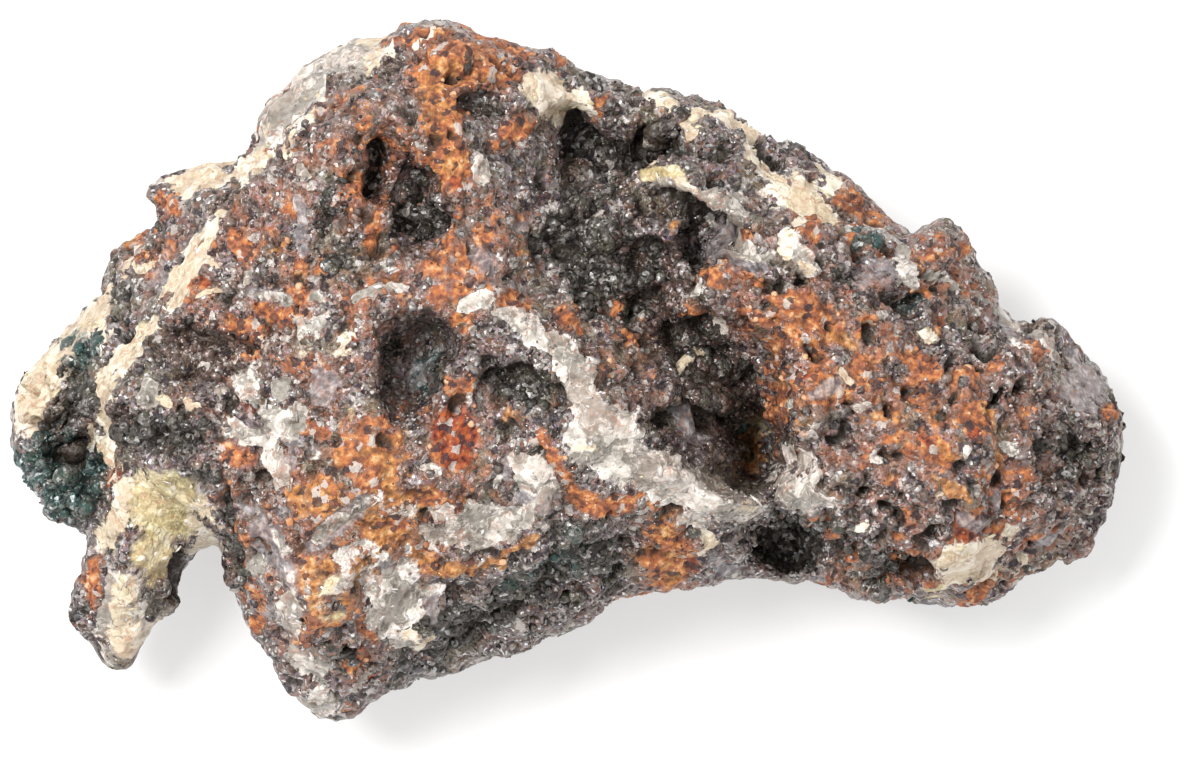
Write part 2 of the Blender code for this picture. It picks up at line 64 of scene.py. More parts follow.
# Lines across the lump from its front outline to its back outline:
# front x, front y, back x, back y, and how far the line bows to the right halfway
STATIONS = (
    # far-left lobe
    (-40, -5, -40, -5, 0), (-39.8, -6, -39.9, -3.9, 0), (-39.1, -7.5, -39.6, -2.2, 0),
    (-38, -8.6, -38.9, -0.6, 0), (-37.3, -9.9, -38, 0.6, 0), (-36.2, -10.9, -36.9, 2.2, 0),
    (-34.9, -11.1, -35.6, 3.6, 0), (-34.1, -11.5, -34.5, 4.9, 0.2),
    # leg
    (-34, -12.7, -33.9, 5.8, 0.5), (-34, -14.3, -33.4, 6.7, 1), (-33.9, -16, -32.9, 7.8, 1.3),
    (-33.7, -18, -32.3, 8.8, 1.5), (-33.2, -19.9, -31.5, 9.2, 1.5), (-32.4, -20.8, -30.8, 9.6, 1.3),
    (-31.2, -21, -30.1, 10, 1.1), (-30.3, -20, -29.6, 10.3, 0.8), (-29.7, -18.5, -29.2, 10.8, 0.5),
    (-28.7, -17.4, -28.8, 11.6, 0.2), (-27.5, -16.6, -28.4, 12.6, 0), (-27.1, -15.2, -27.9, 13.5, -0.2),
    (-26.8, -13.8, -27, 14.3, -0.3), (-26, -12.8, -26, 14.8, -0.3),
    # notch and left flank of the main mass
    (-25, -12.5, -25, 15.1, 0), (-24.5, -13.4, -24.2, 15.3, 0.3), (-24.2, -14.8, -23.6, 15.7, 0.5),
    (-23.4, -16, -23, 16.2, 0.5), (-22.7, -17.6, -22.4, 17, 0.5), (-21.9, -19.2, -21.9, 18.1, 0.5),
    (-21.2, -20.5, -21.4, 19.1, 0.4), (-20.7, -21.8, -20.7, 20.1, 0.3), (-19.7, -22.9, -19.7, 21, 0.1),
    (-18.8, -24, -18.8, 22, 0),
    # front corner and peak
    (-17.7, -24.9, -17.4, 22.7, 0), (-16.4, -25.05, -16.2, 23.5, 0), (-15.2, -24.8, -14.9, 24, 0),
    (-14.1, -23.9, -13.4, 24.1, 0), (-12.9, -23, -11.8, 24.7, 0), (-10.8, -22.3, -10, 25.05, 0),
    (-8.3, -21.7, -8.1, 25, 0), (-6.2, -21, -6.6, 24.2, 0), (-4.3, -20.4, -5, 23.5, 0),
    (-2.4, -19.7, -3, 23.4, 0), (-0.8, -18.9, -0.8, 23.1, 0), (1, -18.1, 0.3, 22.3, 0),
    (2.3, -17.2, 1.2, 21.6, 0), (3.1, -16.4, 2.6, 21.1, 0), (4.6, -16, 4.3, 20.6, 0),
    # waist
    (7.6, -15.8, 5.7, 20.05, 0), (9.5, -15.4, 6.9, 20.6, 0), (11.8, -14.9, 8.4, 19.9, 0),
    (13.6, -14.75, 10.2, 19.6, 0), (15, -15.1, 11.5, 19.1, 0), (16.4, -15.2, 12.3, 18.1, 0),
    (18, -14.85, 14, 17.5, 0), (19.4, -15.3, 15.6, 16.5, 0), (20.4, -16, 17.4, 15.6, 0),
    (21.4, -16.2, 18.7, 14.8, 0), (22.6, -16.4, 20.5, 13.4, 0), (23.7, -16.5, 22.1, 12, 0),
    (24.8, -16.5, 23.9, 10.4, 0), (25.8, -16.6, 25, 10, 0), (26.8, -16.7, 26.2, 10.4, 0),
    # right mass
    (27.8, -16.9, 27.1, 11, 0), (28.8, -17, 28.3, 10.3, 0), (29.6, -17, 29, 9.2, 0),
    (30.3, -16.95, 29.3, 8, 0), (30.8, -16.7, 30.2, 7.2, 0), (31.2, -16, 30.75, 5.8, 0),
    (31.8, -15.4, 31, 4.6, 0), (32.6, -14.9, 32.3, 3.6, 0), (33.6, -14.4, 33.3, 3.4, 0),
    (34.6, -13.9, 34.3, 4, 0), (35.4, -13.5, 35.4, 3.1, 0), (36.4, -13.75, 36.6, 2.1, 0),
    (37.6, -13.3, 37.5, 1, 0), (38.2, -12.3, 38.1, 0.2, 0), (38.75, -11, 38.6, -0.5, 0),
    (39.1, -9.7, 39.1, -1.3, 0), (39.35, -8.3, 39.4, -2.1, 0), (39.6, -7, 39.7, -3, 0),
    (39.85, -6, 39.9, -4, 0), (40, -5, 40, -5, 0),
)

# Bulges of the outline: middle x, middle y, reach, pull along x, pull along y
BULGES = (
    # spike at the back left
    (-28.6, 12.9, 3, -1.6, 0.1),
    # knob on the leg
    (-34.2, -17.4, 3.6, -1.9, -0.1),
)

# Slender places, where the roughness is lower: x, y, reach, share taken off
SLENDER = (
    (-31.5, -17, 8, 0.75), (-29.5, 13, 4, 0.7),
)

# Heights of the upper surface before its pits and ridges: x, y, z
TOP_HEIGHTS = (
    # plateau left of the valley
    (-20, 10, 30), (-15, 6, 31.5), (-22, 3, 30), (-27, 3, 28), (-25, -1, 29), (-18, -1, 31.5),
    (-12, 5.5, 32.5), (-8, 8, 32.5), (-5, 11, 30.5), (-3, 6, 30.5), (-8, 17.5, 30.5), (-14, 14, 31),
    (-14, 19, 28.5), (-3, 15, 28),
    # back edge, left of the peak
    (-9, 23, 26), (-15, 22, 22.5), (-19, 17.3, 25.5), (-19.5, 20.5, 18), (-23, 16, 19), (-27.5, 13, 18),
    (-22, 12, 28.5), (-25.8, 9, 26.5), (-28.4, 5, 25.5), (-30, 8.5, 17.5),
    # far-left lobe
    (-31.5, 3, 21), (-34, 2, 17), (-37, 0, 15), (-38.5, -4.5, 14.5), (-36.3, -7.2, 17.5),
    (-33.2, -8, 18.5), (-31.4, -1.5, 26), (-33.6, -2.5, 18), (-34.6, -4.8, 15), (-30, -4.5, 27),
    # leg
    (-29, -8.5, 22.5), (-30.5, -12, 20), (-31.5, -16, 17.5), (-32, -19.5, 14), (-28, -14.5, 17.5),
    (-26.3, -10.5, 21.5),
    # front face
    (-24, -9, 27), (-23, -14, 23.5), (-20, -6, 30.5), (-16, -5, 32), (-10, -5, 32), (-5, -4, 31),
    (-18, -12, 28.5), (-11, -11, 29.5), (-6.5, -11, 29), (-3, -9.5, 29), (-19, -19, 22), (-15, -17, 25.5),
    (-10.5, -18, 23.5), (-17, -23, 17), (-13.5, -21, 19.5),
    # dark band under the front face
    (-8.5, -15, 25), (-4, -13.6, 25), (-7, -18.5, 18), (-3, -16.5, 19), (1, -15, 19.5), (2, -11.5, 25),
    (4.5, -13.5, 21),
    # quartz ridge
    (-3.5, 3.2, 30.8), (0.8, 0, 30.6), (3, -4, 31), (8, -7, 30), (12.3, -9, 28.5), (4, 1.6, 28),
    (9.5, -2.5, 28), (9, -4.6, 27),
    # valley
    (0.5, 16.5, 22.5), (5, 16.2, 21.5), (1, 12, 25.5), (4, 10, 25.5), (7.6, 8, 24.5), (5, 6, 24.5),
    (8.5, 3, 22.5), (10, 0.5, 21.5), (13, -2, 20.5), (13.2, -6, 17.5),
    # ledge beyond the valley
    (7.5, 13.5, 27.5), (11.5, 11.5, 27.5), (13, 8, 29), (11, 7, 28.5), (9.5, 5, 27), (14.5, 5, 29),
    (15.8, 1, 28.5), (16, -3.5, 28), (17, -8.5, 28.5),
    # back edge, right of the peak
    (-1, 20.5, 25), (3, 19.5, 22.5), (9, 18.3, 22), (14.5, 15.5, 21.5), (19, 13, 21.5), (17, 10, 26),
    (22.5, 10, 22.5), (27, 8.8, 21), (24, 6, 25.5), (29.5, 5.5, 19),
    # right mass
    (19.5, 4, 27.5), (22, 0, 27.5), (27, -2, 26.5), (20, -5, 28), (24.5, -8, 28), (28.5, -9, 27),
    (32, -4, 24.5), (31, 1.5, 23), (34.5, 1.8, 20), (37.3, -1.5, 18.5), (36.3, -6, 19.5), (38, -8.5, 17),
    (35, -10.5, 19.5), (37, -12.3, 13.5), (33, -12.5, 18), (29, -14, 21.5), (24.5, -13, 25),
    (20.5, -12.5, 25), (15.5, -12.5, 20), (9.5, -12.5, 24), (12.5, -11.3, 25), (7, -10, 27.5),
    (10, -14.5, 20),
)

# Heights of the underside; what falls below the floor is the flat it rests on: x, y, z
BASE_HEIGHTS = (
    (-12, 4, -2), (-2, -4, -2.2), (6, 4, -2.2), (16, -3, -1.8), (-16, -7, -1.6), (-4, 12, -1.6),
    (-37, -3, 5), (-31, -17, 7.5), (-29, -6, 4.5), (-28, 9, 7), (-19.5, 18, 6.5), (-9, 22, 5),
    (4, 18, 5.5), (15, 13, 5), (26, 6, 5.5), (34, -2, 5), (37, -9, 6.5), (28, -13, 3.5), (15, -12.5, 4),
    (2, -14.5, 5.5), (-9, -18, 4.5), (-17, -22, 6), (-22.5, -12, 4.5),
)

# Pits: x, y, half length, half width, turn in degrees, depth
PITS = (
    # twin holes and the hole in the middle of the plateau
    (-13, 14.6, 2.3, 1.1, 85, 4), (-10.6, 12.3, 2.8, 1.4, 105, 5), (-11.1, 0.2, 3.2, 1.8, 82, 6),
    (-9.5, 2.5, 1.8, 1.2, 150, 3.5),
    # floor of the valley
    (13.4, -5.6, 3, 2, 100, 5.5),
    # hollow in the front edge
    (15.6, -12.4, 3, 2.3, 160, 5),
    # hollow in the right end
    (36.2, -6.2, 2.7, 2.1, 110, 3.5),
    # upper end of the valley
    (1.2, 16.6, 2.2, 1.4, 135, 3), (6.6, 16.6, 2, 1.2, 30, 3), (9.6, 8.6, 1.8, 1, 110, 3.5),
    # small pits
    (-6, 19, 1.3, 0.9, 0, 2), (24.1, 5.2, 1.6, 1, 10, 2), (24.6, -14, 1.7, 1.3, 150, 2.2),
    (-35.2, -5.2, 1.7, 1.4, 0, 2.5), (-4.5, -1.2, 1.8, 1, 160, 1.5),
)

# Crests and clefts: x, y of one end, x, y of the other, half width, rise (clefts below zero)
CREASES = (
    # quartz ridge
    (-6, 5, -1, 1.2, 2.2, 1.3), (-1, 1.2, 2.5, -3, 2.4, 1.3), (2.5, -3, 7.5, -6.3, 2.4, 1.2),
    (7.5, -6.3, 13.3, -9.2, 2, 1),
    # pale vein along the left face
    (-24.6, 11, -27.6, 4.6, 1.5, 0.9), (-27.6, 4.6, -32.6, -1.8, 1.5, 0.9),
    # lip of the ledge beyond the valley
    (7.2, 13.4, 12.8, 10.6, 2, 1.2), (7.8, 5, 13.2, 3.4, 2.2, 1.4),
    # lip over the dark band
    (-10.4, -19.4, -7.8, -14.6, 2, 1.2), (-7.8, -14.6, 2.6, -10.4, 2, 1.2),
    # crest down the front corner
    (-18.5, -11, -16.6, -23.5, 3.2, 1.6),
    # rib across the valley floor
    (5.4, 3.2, 10.8, -3, 1.8, 1.5),
    # cleft under the ledge
    (6, 12.4, 12, 9.4, 1.8, -3.2),
    # cleft under the rib
    (6.6, -3.4, 11.2, -3.7, 1.4, -1.6),
    # crack between the twin holes and the plateau
    (-15, 9.4, -11, 9.3, 1.5, -1.5),
)

# Rounded lumps of botryoidal ore: x, y, radius, rise
LUMPS = (
    (3.8, 9.6, 2.6, 1.5), (7.7, 9.6, 1.9, 1.4), (4.8, 6.8, 1.7, 1.3), (0.8, 12, 1.8, 1), (7, 6.6, 1.4, 1),
    (-13, 4.1, 1.5, 1.1), (-10.4, 3.9, 1.1, 0.9), (-19.5, 8, 2.4, 0.8), (-22.5, 14.6, 1.2, 0.7),
    (-34.2, -6.6, 1.3, 1), (-36.6, -8.4, 1.6, 1), (-38.6, -6.2, 1.5, 1), (-35.2, 1, 1.5, 1),
    (-31.2, 8.2, 1.7, 1.2), (-34.9, -17.6, 1.6, 1.2), (7, 19.8, 1.5, 1), (27.1, 9.4, 1.8, 1.3),
    (34.4, 2.8, 1.5, 1),
)

# Where the dressed outline is drawn in or out a little: x, y, reach, pull along x, pull along y
TRIMS = (
    (28.3, -18, 7, 0, 1.3), (38.6, -12.8, 4.5, -0.7, 0.2), (9.6, 21.6, 6, -0.2, -1.2),
    (13.6, 19.2, 4.5, -0.2, -0.5), (20, 15.2, 4, -0.4, -0.5), (-30.6, 11.2, 2.6, 1, 0.1),
    (-23.8, 16.6, 2.8, 0.5, -0.6), (-37.7, 3.2, 6, 0.8, -0.4), (-37.4, -8.6, 3.6, -0.1, 0),
    (-40.3, -4.5, 5, 1, 0), (-34.6, -14.4, 2.4, -0.6, 0), (-23, -17, 6, -0.5, 0),
    (-32.4, -20.8, 1.9, 0, -0.5), (-30.2, -20.2, 1.8, 0, 0.6), (-12.6, -23.8, 4, 0, 0.6),
    (-0.6, -19.4, 7, -0.1, 0.8), (-9.7, 25.4, 6, 0, -0.3), (29.2, 10.6, 5, -0.2, -0.2),
    (37.4, 1.8, 5, -0.3, -0.2), (8.6, -16.2, 4.5, 0, 0.5), (24.4, -17.4, 4, 0, 0.4),
)


class Mineral(Enum):
    """What the surface is made of, in the order in which one covers the other."""

    DARK = 0
    BROWN = 1
    RUST = 2
    OCHRE = 3
    RED = 4
    LILAC = 5
    HONEY = 6
    QUARTZ = 7
    CREAM = 8
    TEAL = 9


SPARS = (Mineral.QUARTZ, Mineral.CREAM, Mineral.HONEY, Mineral.LILAC)
RUSTS = (Mineral.RUST, Mineral.OCHRE, Mineral.RED)
# the last layer holds two minerals, then the painted shade of holes and of crevices
MINERAL_AND_SHADE_LAYERS = ("growth_a", "growth_b", "minerals_and_painted_shade")

# Patches of each mineral seen from above: x, y, half length, half width, turn in degrees, strength.
# At full strength a patch is whole; a weaker one breaks up into flecks.
PATCHES: dict[Mineral, tuple[tuple[float, ...], ...]] = {
    Mineral.DARK: (
        (-13.4, 14.5, 1.7, 0.7, 82, 1), (-10.4, 13.6, 0.8, 0.5, 70, 1), (-10.4, 11, 1.6, 1.2, 160, 1),
        (-11, 18, 0.4, 0.4, 0, 1), (-10.5, 22.3, 0.6, 0.35, 30, 1), (-7.8, 21.3, 0.9, 0.4, 20, 1),
        (-12.2, 0.8, 2, 0.8, 82, 0.98), (-3.3, -0.7, 2.9, 1.2, 165, 0.9), (2.9, 7.6, 5.4, 3.6, 120, 0.8),
        (1.5, 12.5, 2.8, 2.2, 40, 0.66), (9, 8.7, 1.3, 0.7, 100, 1), (13, 7.5, 0.7, 0.35, 0, 1),
        (9.4, 1.6, 3.6, 2.2, 130, 0.72), (12.2, -0.6, 3, 1.6, 115, 0.7),
        (10.9, -2.6, 3.2, 0.7, 125, 0.92), (15.2, 6.5, 0.6, 0.6, 0, 1), (20.8, 8.2, 0.6, 0.5, 0, 1),
        (23.9, 4.9, 0.9, 0.65, 160, 1), (27.7, 5.7, 0.4, 0.35, 0, 1), (28, 4.8, 0.4, 0.3, 0, 0.9),
        (29.7, 1.9, 0.9, 0.7, 130, 1), (22.8, -2.8, 0.5, 0.3, 60, 1), (26.6, -2.7, 0.6, 0.35, 70, 1),
        (27.7, -1.5, 0.4, 0.3, 0, 1), (31, -1.7, 0.8, 0.4, 75, 1), (30.3, -2.7, 0.4, 0.3, 0, 1),
        (23.3, -10.3, 0.6, 0.5, 0, 1), (17.6, 1.2, 0.6, 0.4, 40, 1), (21.4, 2.4, 0.7, 0.4, 120, 1),
        (24.2, -1.8, 0.5, 0.35, 20, 1), (19, -4.6, 0.7, 0.4, 150, 1), (27.2, 0.9, 0.7, 0.4, 60, 1),
        (21.2, -8.4, 0.6, 0.4, 10, 1), (25.6, -11.6, 0.8, 0.4, 30, 1), (32.9, -1.2, 0.6, 0.4, 80, 1),
        (26.2, 7.2, 0.6, 0.4, 20, 1), (17, 6.7, 0.5, 0.4, 90, 1), (22.5, -9.3, 0.5, 0.35, 0, 1),
        (37.8, -10, 0.9, 0.45, 70, 1), (24.8, -14.2, 1.1, 0.9, 150, 1), (15.7, -12.5, 2.3, 1.6, 160, 1),
        (15.7, -12.5, 2.9, 2.2, 160, 0.8), (36.2, -6.3, 2.4, 1.8, 110, 0.58),
        (-16.2, -20.2, 1.4, 0.8, 150, 0.75), (-6.5, -17.8, 5.4, 2.2, 24, 0.75),
        (0.6, -14.2, 5.4, 2.8, 15, 0.6), (-10.8, -21.2, 2.6, 1, 24, 0.9),
        (-35.5, -17.3, 0.9, 0.7, 0, 0.95), (-36.6, -7.6, 3.9, 3.5, 20, 0.98),
        (-34.7, -5.3, 0.8, 0.45, 60, 1), (-23.9, -12.2, 4.4, 0.6, 95, 0.95),
        (-35.1, 1.1, 2, 1.3, 40, 0.95), (-34.5, -1.6, 1.8, 1.4, 80, 0.85), (-38.5, -1.8, 0.7, 0.6, 0, 1),
        (-33.8, 5.6, 0.6, 0.5, 0, 1), (-31, 5.4, 0.9, 0.7, 60, 0.9), (-31.6, 2.7, 1, 0.7, 80, 0.85),
        (-28.7, -4.6, 3.7, 1.6, 170, 0.8), (-25.5, -7, 1, 0.7, 0, 0.8), (-22.6, 15.1, 0.6, 0.6, 0, 0.9),
        (6.7, -10, 0.7, 0.6, 0, 0.9), (8.2, -11.6, 0.7, 0.5, 30, 0.9), (-1.8, -5.5, 0.5, 0.5, 0, 1),
        (33.7, -14, 0.9, 0.4, 20, 0.8), (2.7, 20.8, 2.5, 0.8, 165, 0.75), (-24.3, 5.6, 1.3, 0.7, 30, 0.6),
        (-16.2, 7.6, 1.6, 1, 30, 0.6), (-16.5, 12, 2, 1.4, 60, 0.55), (-1.2, 9.5, 2.2, 1.6, 60, 0.6),
        (19.5, 7, 1.4, 0.6, 140, 0.6), (21, -12.6, 3.4, 2.6, 170, 0.55), (-26.2, -13.6, 0.8, 0.7, 0, 0.7),
        (-32.4, 5.2, 0.8, 0.6, 60, 0.7),
    ),
    Mineral.BROWN: (
        (-25.8, 1.5, 4, 2.2, 170, 0.95), (-31.6, -3.4, 1.3, 1, 80, 0.8), (6.3, 5, 8.4, 3.4, 118, 0.6),
        (11.2, -1, 5, 3.2, 122, 0.62), (2, 13.5, 4.6, 2.4, 110, 0.5), (-12.6, 22, 1.7, 0.6, 80, 0.9),
        (-23.8, 12.2, 1.2, 0.8, 70, 0.9), (14, -12, 1, 0.8, 0, 0.9), (-28.3, -16.5, 0.6, 0.5, 0, 0.9),
        (34.3, 3.4, 1.4, 0.6, 170, 0.8), (37, -7, 1.4, 1, 110, 0.7), (3.4, 19.9, 1.9, 0.7, 170, 0.7),
        (17.4, 15.2, 1.6, 0.7, 150, 0.6), (-4.2, 21.6, 2, 1.6, 20, 0.6), (31, -16, 1.6, 0.8, 20, 0.8),
    ),
    Mineral.RUST: (
        (-8, 21.8, 3.3, 2.1, 10, 0.95), (-8.6, 18.2, 2.7, 1.8, 88, 0.95), (-8.2, 14.8, 2.4, 1.8, 92, 0.9),
        (-10.5, 24.3, 2.8, 0.8, 8, 0.95), (-4.3, 21.5, 1.9, 1.7, 0, 0.75), (-3.6, 17, 1.8, 1.1, 20, 0.85),
        (-14, 17.5, 0.6, 0.5, 0, 0.8), (-19.3, 16, 0.5, 0.4, 0, 0.8), (-14.3, 13.5, 0.6, 0.5, 0, 0.8),
        (-0.6, 22, 0.9, 0.6, 80, 0.9), (6.5, 18.8, 0.6, 0.3, 150, 0.9), (20, 12, 1, 0.8, 90, 0.9),
        (-28.6, 12, 0.9, 0.5, 10, 0.75), (-30.3, 8.5, 0.7, 0.5, 20, 0.9),
        (-22.9, 8.8, 1.4, 0.8, 100, 0.75), (-23, 3.5, 1.1, 0.6, 170, 0.85),
        (-20.5, 3.7, 1.6, 1, 150, 0.85), (-33.2, -2.4, 0.5, 0.4, 0, 0.9), (-32, -6.8, 0.8, 0.4, 70, 0.9),
        (-31.6, -9.2, 0.7, 0.5, 70, 0.9), (-23.2, -6, 1.4, 0.7, 140, 0.95),
        (-19.5, 11.5, 0.6, 0.5, 0, 0.9), (-13.4, 10.2, 2.5, 0.7, 95, 0.8), (-9, 5.3, 1, 0.7, 20, 0.85),
        (-7.2, 3.6, 1.2, 0.8, 100, 0.85), (-3.5, 4.8, 1.1, 0.7, 150, 0.9), (1.4, 5, 1.1, 0.5, 160, 0.9),
        (13, 6.4, 1.2, 0.5, 155, 0.85), (8.6, 4.7, 1.2, 0.7, 160, 0.95), (10.8, 4, 0.8, 0.4, 160, 0.9),
        (17.2, 4, 2.6, 1.4, 150, 0.9), (15.4, -1.8, 2, 1.1, 80, 0.85), (18.2, -1.4, 1.7, 1.2, 100, 0.8),
        (27.5, 8.8, 0.7, 0.5, 0, 0.85), (26.3, 3.6, 0.4, 0.4, 0, 0.9), (24.7, 0.8, 1.6, 1.3, 100, 0.85),
        (33, 1.6, 0.9, 0.6, 150, 0.85), (29.2, -3.4, 1.7, 1.3, 100, 0.9), (26, -5.5, 1.7, 1.5, 130, 0.85),
        (31.9, -9, 1.3, 0.8, 100, 0.9), (39, -3.2, 1.1, 0.5, 80, 0.8), (18.2, -11.2, 1.4, 0.7, 170, 0.9),
        (1.2, -9.4, 1, 0.6, 160, 0.95), (4.2, -9, 2.3, 0.5, 172, 0.95), (7, -12.6, 2.9, 2.3, 95, 0.9),
        (29.8, -15.8, 1.5, 1.3, 60, 0.8), (19.7, -13.7, 0.9, 0.7, 80, 0.85), (-7.5, -1, 1.2, 1, 80, 0.85),
        (-16.3, -6.3, 1, 0.8, 0, 0.85), (-10, -9, 1.7, 1.1, 160, 0.85),
        (-12.6, -11.6, 2.4, 1.4, 10, 0.85), (-18, -4.3, 1, 0.6, 10, 0.8), (-12, -19, 0.7, 0.6, 0, 0.85),
        (-14, -18.7, 0.7, 0.6, 0, 0.85), (-18.8, -23.8, 0.9, 0.45, 80, 0.9),
        (-15.5, -24.5, 0.7, 0.4, 10, 0.9), (-33.9, -14.8, 2, 0.75, 85, 0.95),
        (-32.9, -18.4, 1.4, 0.7, 75, 0.9), (-30, -18.2, 0.6, 0.5, 0, 0.85),
        (-12.8, -6.8, 2.5, 1.4, 95, 0.8), (-17.2, -9.2, 2, 1.8, 90, 0.8), (-8, -5.2, 2.4, 1.7, 95, 0.95),
        (23.5, -2.5, 11.5, 7, 165, 0.43), (-13, -8.5, 8.5, 6.5, 20, 0.5), (-19, 6, 8, 9, 20, 0.4),
        (-15, 15.5, 5.5, 5.5, 0, 0.41), (-6.5, 8, 4, 4, 0, 0.5), (14.5, 3.5, 3.5, 3, 0, 0.5),
        (12.6, 6.2, 3.2, 1.3, 155, 0.5), (10.2, 6.4, 1.4, 0.6, 150, 0.9), (12.6, 10, 2.4, 1, 150, 0.5),
        (28, -12.5, 7.5, 4, 10, 0.46), (23, 8, 7.5, 4, 150, 0.46), (-22, -11, 3, 5, 10, 0.44),
        (-28, 8, 3, 4, 30, 0.42), (3.5, 2.5, 5, 3, 140, 0.44), (-16.5, -16.5, 4, 5, 10, 0.52),
    ),
    Mineral.OCHRE: (
        (-8, 14.4, 1.4, 0.9, 95, 0.7), (-20.3, 8.9, 0.6, 0.45, 0, 1), (7.4, 10.4, 0.6, 0.4, 20, 0.85),
        (15.9, 8.3, 0.5, 0.3, 0, 1), (19.4, 2.4, 1.3, 0.65, 150, 0.95), (13.2, -5, 2.4, 1.8, 95, 0.56),
        (28.2, 8.6, 0.4, 0.35, 0, 0.9), (27.5, -8.5, 1.6, 0.8, 155, 0.85),
        (18.4, -1.2, 0.9, 0.6, 120, 0.8), (-17.3, -9.2, 1.6, 1.2, 80, 0.8),
        (-12.4, -6.6, 2, 0.8, 100, 0.75), (-14.3, -14.4, 1.1, 0.9, 30, 1), (-18.4, -9, 1.9, 1.6, 40, 0.8),
        (-33, -20.1, 0.6, 0.5, 60, 0.9), (-2.8, 8.6, 0.6, 0.5, 0, 0.7),
        (-17.4, -15.4, 2.8, 1.7, 80, 0.75), (-3.2, -4, 1.7, 1.4, 90, 0.6), (-30.9, 8, 0.6, 0.5, 0, 0.9),
        (16.2, 4.8, 0.9, 0.5, 150, 0.7), (-8.2, 20.4, 1.4, 0.7, 60, 0.62), (5.4, -9, 1, 0.4, 170, 0.7),
        (30, -4.6, 0.8, 0.4, 110, 0.7), (24.6, 1.2, 0.9, 0.4, 80, 0.6),
        (-10.4, -11.8, 1.4, 0.7, 20, 0.65), (-14, -9.5, 5.5, 6, 10, 0.47), (20.5, -0.5, 7, 4.5, 160, 0.4),
        (-8.4, 19, 2.4, 5, 0, 0.44), (29, -6, 4, 5, 0, 0.38), (-16.5, -16, 3, 4, 0, 0.48),
        (7, -12.5, 2.5, 3, 0, 0.44),
    ),
    Mineral.RED: (
        (-7.7, -4.6, 2.7, 1.9, 95, 1), (-7.5, 13.4, 0.8, 0.5, 80, 0.95), (-12, 8.5, 0.7, 0.4, 90, 0.9),
        (9, -13.5, 0.6, 0.4, 0, 0.95), (25.5, -4.7, 0.5, 0.35, 30, 1), (28.9, -4.5, 0.45, 0.35, 0, 1),
        (-26, 6.3, 0.5, 0.4, 0, 1), (-15.5, 2, 0.35, 0.3, 0, 1), (-18, 0.6, 0.35, 0.3, 0, 1),
        (-14, -21.5, 0.45, 0.35, 0, 0.9), (-21.5, 15.5, 0.5, 0.4, 0, 0.9), (28.8, -11, 2, 0.6, 155, 0.8),
        (-7.2, -6.3, 0.7, 0.5, 0, 0.9), (20.2, 5.6, 0.4, 0.3, 0, 0.8), (-22.6, -2.6, 1, 0.6, 0, 0.7),
        (-18.6, -3, 0.6, 0.4, 0, 0.7), (-31.9, -7.4, 0.6, 0.35, 60, 0.9), (16.6, -0.4, 0.4, 0.3, 0, 0.8),
    ),
    Mineral.LILAC: (
        (-21.1, 5.5, 1.7, 0.8, 165, 0.8), (12, 8.6, 3.2, 1.8, 152, 0.7), (-9.9, 0.8, 2.5, 1.2, 84, 0.58),
        (37.4, 0.4, 2.8, 1.9, 125, 0.58), (33.8, -11.6, 2.2, 1.4, 30, 0.54),
        (22.6, 6.6, 3.4, 1.8, 155, 0.52), (31.6, 2.9, 2, 1.2, 150, 0.52),
        (8.6, -3.6, 2.2, 1.2, 140, 0.52), (18.4, -1.2, 1.3, 0.8, 40, 0.8),
        (14.2, -5.2, 1.6, 0.9, 95, 0.5), (30.7, -9, 1.1, 0.6, 100, 0.85),
        (11.5, -13.8, 1.7, 1.1, 160, 0.75), (-1.9, -8.4, 2.1, 1.8, 100, 0.9),
        (-4.3, -6.6, 1.4, 0.9, 60, 0.8), (-11, -21.3, 0.7, 0.5, 0, 0.7), (1, -16.5, 0.7, 0.5, 0, 0.7),
        (-6.5, 7.6, 2.8, 2.4, 40, 0.5), (-20.3, -13.8, 1.6, 1, 90, 0.85), (29, -10.6, 1.6, 0.5, 160, 0.6),
        (-29, 6.6, 2, 1.2, 60, 0.6), (-3.5, 10, 1, 0.7, 0, 0.6), (20.8, -6.6, 2, 1, 20, 0.5),
        (36.5, -1.6, 2.6, 1.2, 130, 0.75), (-8.2, -0.9, 0.9, 0.8, 0, 0.6),
        (-18.2, -1.2, 2.6, 1.6, 20, 0.55), (-20.8, -14, 2.2, 5.4, 8, 0.6),
        (-11.8, -16.4, 3.2, 2.6, 80, 0.6), (-6, -11.2, 3.4, 1.8, 12, 0.6), (-20.6, -5.4, 3, 2, 140, 0.6),
    ),
    Mineral.HONEY: (
        (-28.7, -9.3, 3.2, 2.5, 150, 1), (-29.2, -13.2, 2.2, 1.7, 80, 0.9),
        (-18.3, 19.3, 1.3, 0.6, 50, 0.8), (5, -7.4, 0.9, 0.5, 160, 0.85), (7.1, 13.8, 2, 0.9, 165, 0.95),
        (26.5, -15.8, 1.5, 0.6, 10, 0.8), (-14.6, -3.2, 1.4, 0.8, 30, 0.5), (-16.6, -16, 1.8, 1, 70, 0.6),
        (2.4, -4.2, 1.4, 0.7, 30, 0.6), (13.4, -5.4, 2.6, 1.9, 95, 0.61),
    ),
    Mineral.QUARTZ: (
        (-29.5, -1.8, 1.3, 0.9, 90, 0.9), (-22.4, -4.6, 2.3, 0.9, 170, 0.95),
        (-20.5, -6.9, 1.9, 1, 135, 0.95), (-20, -1.2, 0.5, 0.35, 0, 1), (-19, -2.3, 0.5, 0.4, 0, 1),
        (-19.8, -3.9, 0.6, 0.4, 40, 1), (-5.9, 14.2, 1.2, 0.8, 80, 0.95), (-10.8, 19.2, 0.4, 0.3, 0, 1),
        (-18.9, 14, 0.8, 0.6, 0, 0.95), (-20.8, 5.4, 1.3, 0.5, 165, 0.85), (-6, 4.9, 1.4, 0.8, 10, 0.95),
        (-3.8, 3.7, 1.3, 0.8, 150, 1), (0.6, 0.4, 2, 1.2, 130, 1), (1, -1.9, 1.6, 1.1, 100, 1),
